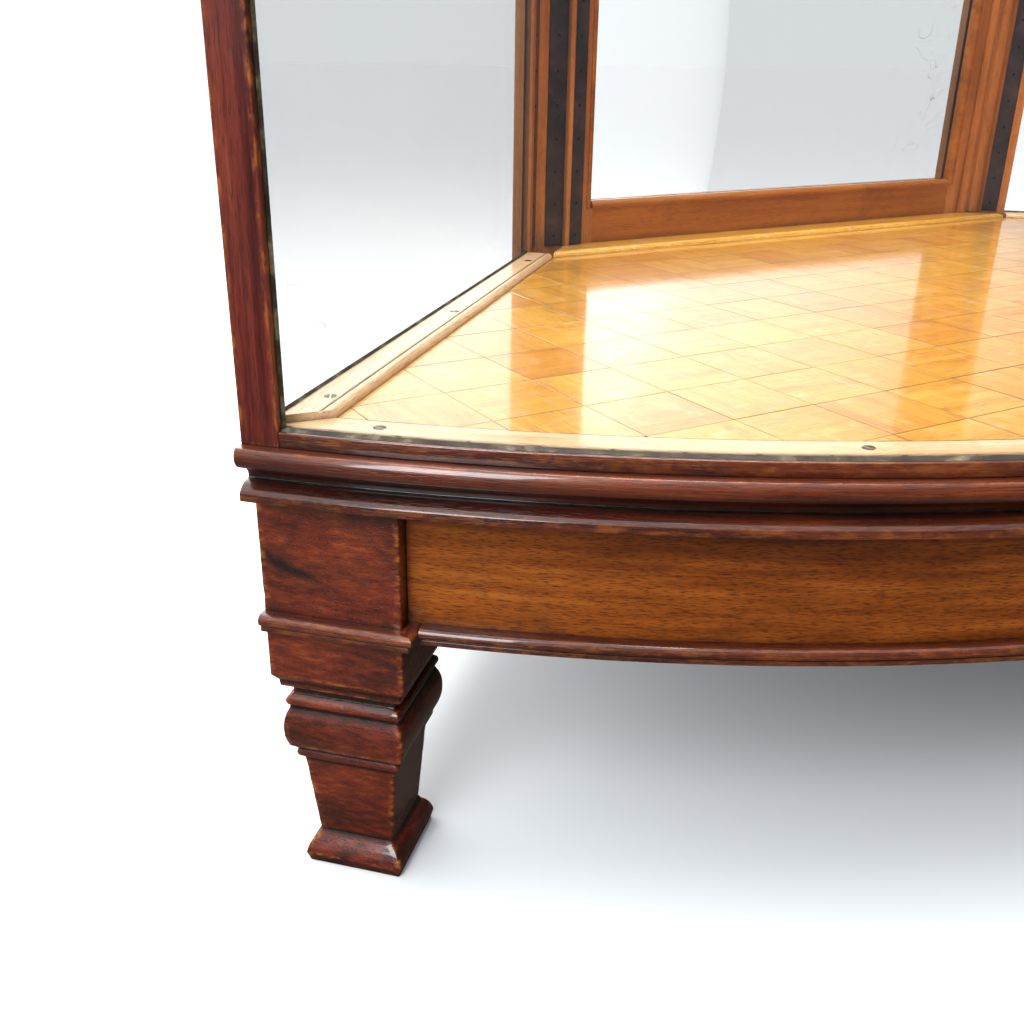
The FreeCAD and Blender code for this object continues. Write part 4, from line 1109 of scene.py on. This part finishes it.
# the paper shows pale but sends little light back up, so that the undersides stay dark
paperPale = addNode(paperTree, "ShaderNodeBsdfDiffuse", {"Color": linear(stage["wall"])})
paperDim = addNode(paperTree, "ShaderNodeBsdfDiffuse", {"Color": linear(stage["bounce"])})
paperSeen = addNode(paperTree, "ShaderNodeLightPath").outputs["Is Camera Ray"]
paperMix = addNode(paperTree, "ShaderNodeMixShader", {},
                   {0: paperSeen, 1: paperDim.outputs[0], 2: paperPale.outputs[0]})
addNode(paperTree, "ShaderNodeOutputMaterial", {}, {"Surface": paperMix.outputs[0]})
floorMesh.materials.append(paper)

world = bpy.data.worlds.new("studio")
bpy.context.scene.world = world
world.use_nodes = True
sky = world.node_tree
sky.nodes.clear()
direction = addNode(sky, "ShaderNodeTexCoord").outputs["Generated"]
axes = addNode(sky, "ShaderNodeSeparateXYZ", {}, {"Vector": direction})
# the room is brighter behind and above the case than in front of it
room = addNodes(sky, {axis: axes.outputs[axis] for axis in "XYZ"}, (
    ("back", "MapRange", {}, ("Y", 0.5, 0.8, 0.05, 3.4)),
    ("rightShade", "MapRange", {}, ("X", 1.0, 0.92, 0.3, 1.0)),
    ("behind", "Math", times, ("back", "rightShade")),
    ("above", "MapRange", {}, ("Z", 0.5, 0.95, 0.05, 1.8)),
    ("leftward", "MapRange", {}, ("X", 0.0, -0.9, 0.02, 0.5)),
    ("high", "Math", plus, ("behind", "above")),
    ("strength", "Math", plus, ("high", "leftward")),
))
seen = addNode(sky, "ShaderNodeLightPath").outputs["Is Camera Ray"]
light = addNode(sky, "ShaderNodeBackground", {"Color": (1.0, 0.98, 0.95, 1)}, {"Strength": room["strength"]})
white = addNode(sky, "ShaderNodeBackground", {"Color": (0.94, 0.98, 1.0, 1), "Strength": 1.26})
mixed = addNode(sky, "ShaderNodeMixShader", {}, {0: seen, 1: light.outputs[0], 2: white.outputs[0]})
addNode(sky, "ShaderNodeOutputWorld", {}, {"Surface": mixed.outputs[0]})

lamps = {
    "overheadSoftbox": ((-0.2, 0.3, 2.6), (0.0, 0.0, 0.3), (2.4, 1.6), 110.0, (1.0, 0.96, 0.9)),
    "windowLeft": ((-2.6, -1.5, 1.9), (-0.3, 0.0, 0.3), (1.0, 1.8), 62.0, (0.95, 0.97, 1.0)),
}
for name, (at, towards, size, power, colour) in lamps.items():
    data = bpy.data.lights.new(name, "AREA")
    data.shape = "RECTANGLE"
    data.size, data.size_y = size
    data.energy = power
    data.color = colour
    lamp = bpy.data.objects.new(name, data)
    lamp.location = at
    lamp.rotation_euler = (Vector(towards) - Vector(at)).to_track_quat("-Z", "Y").to_euler()
    bpy.context.scene.collection.objects.link(lamp)

shot = {"at": (-0.97361, -0.63131, 0.51970), "heading": 30.326, "down": 23.289, "roll": 0.844,
        "lens": 37.25}
heading, down, roll = (math.radians(shot[key]) for key in ("heading", "down", "roll"))
forward = Vector((math.sin(heading) * math.cos(down), math.cos(heading) * math.cos(down), -math.sin(down)))
right = forward.cross(Vector((0, 0, 1))).normalized()
up = right.cross(forward)
right, up = right * math.cos(roll) + up * math.sin(roll), up * math.cos(roll) - right * math.sin(roll)
cameraData = bpy.data.cameras.new("camera")
cameraData.lens = shot["lens"]
cameraData.sensor_width = 36.0
cameraData.clip_start = 0.01
camera = bpy.data.objects.new("camera", cameraData)
camera.matrix_world = Matrix((
    (right.x, up.x, -forward.x, shot["at"][0]),
    (right.y, up.y, -forward.y, shot["at"][1]),
    (right.z, up.z, -forward.z, shot["at"][2]),
    (0, 0, 0, 1),
))
bpy.context.scene.collection.objects.link(camera)
bpy.context.scene.camera = camera
bpy.context.scene.view_settings.view_transform = "Standard"

print("scene done")
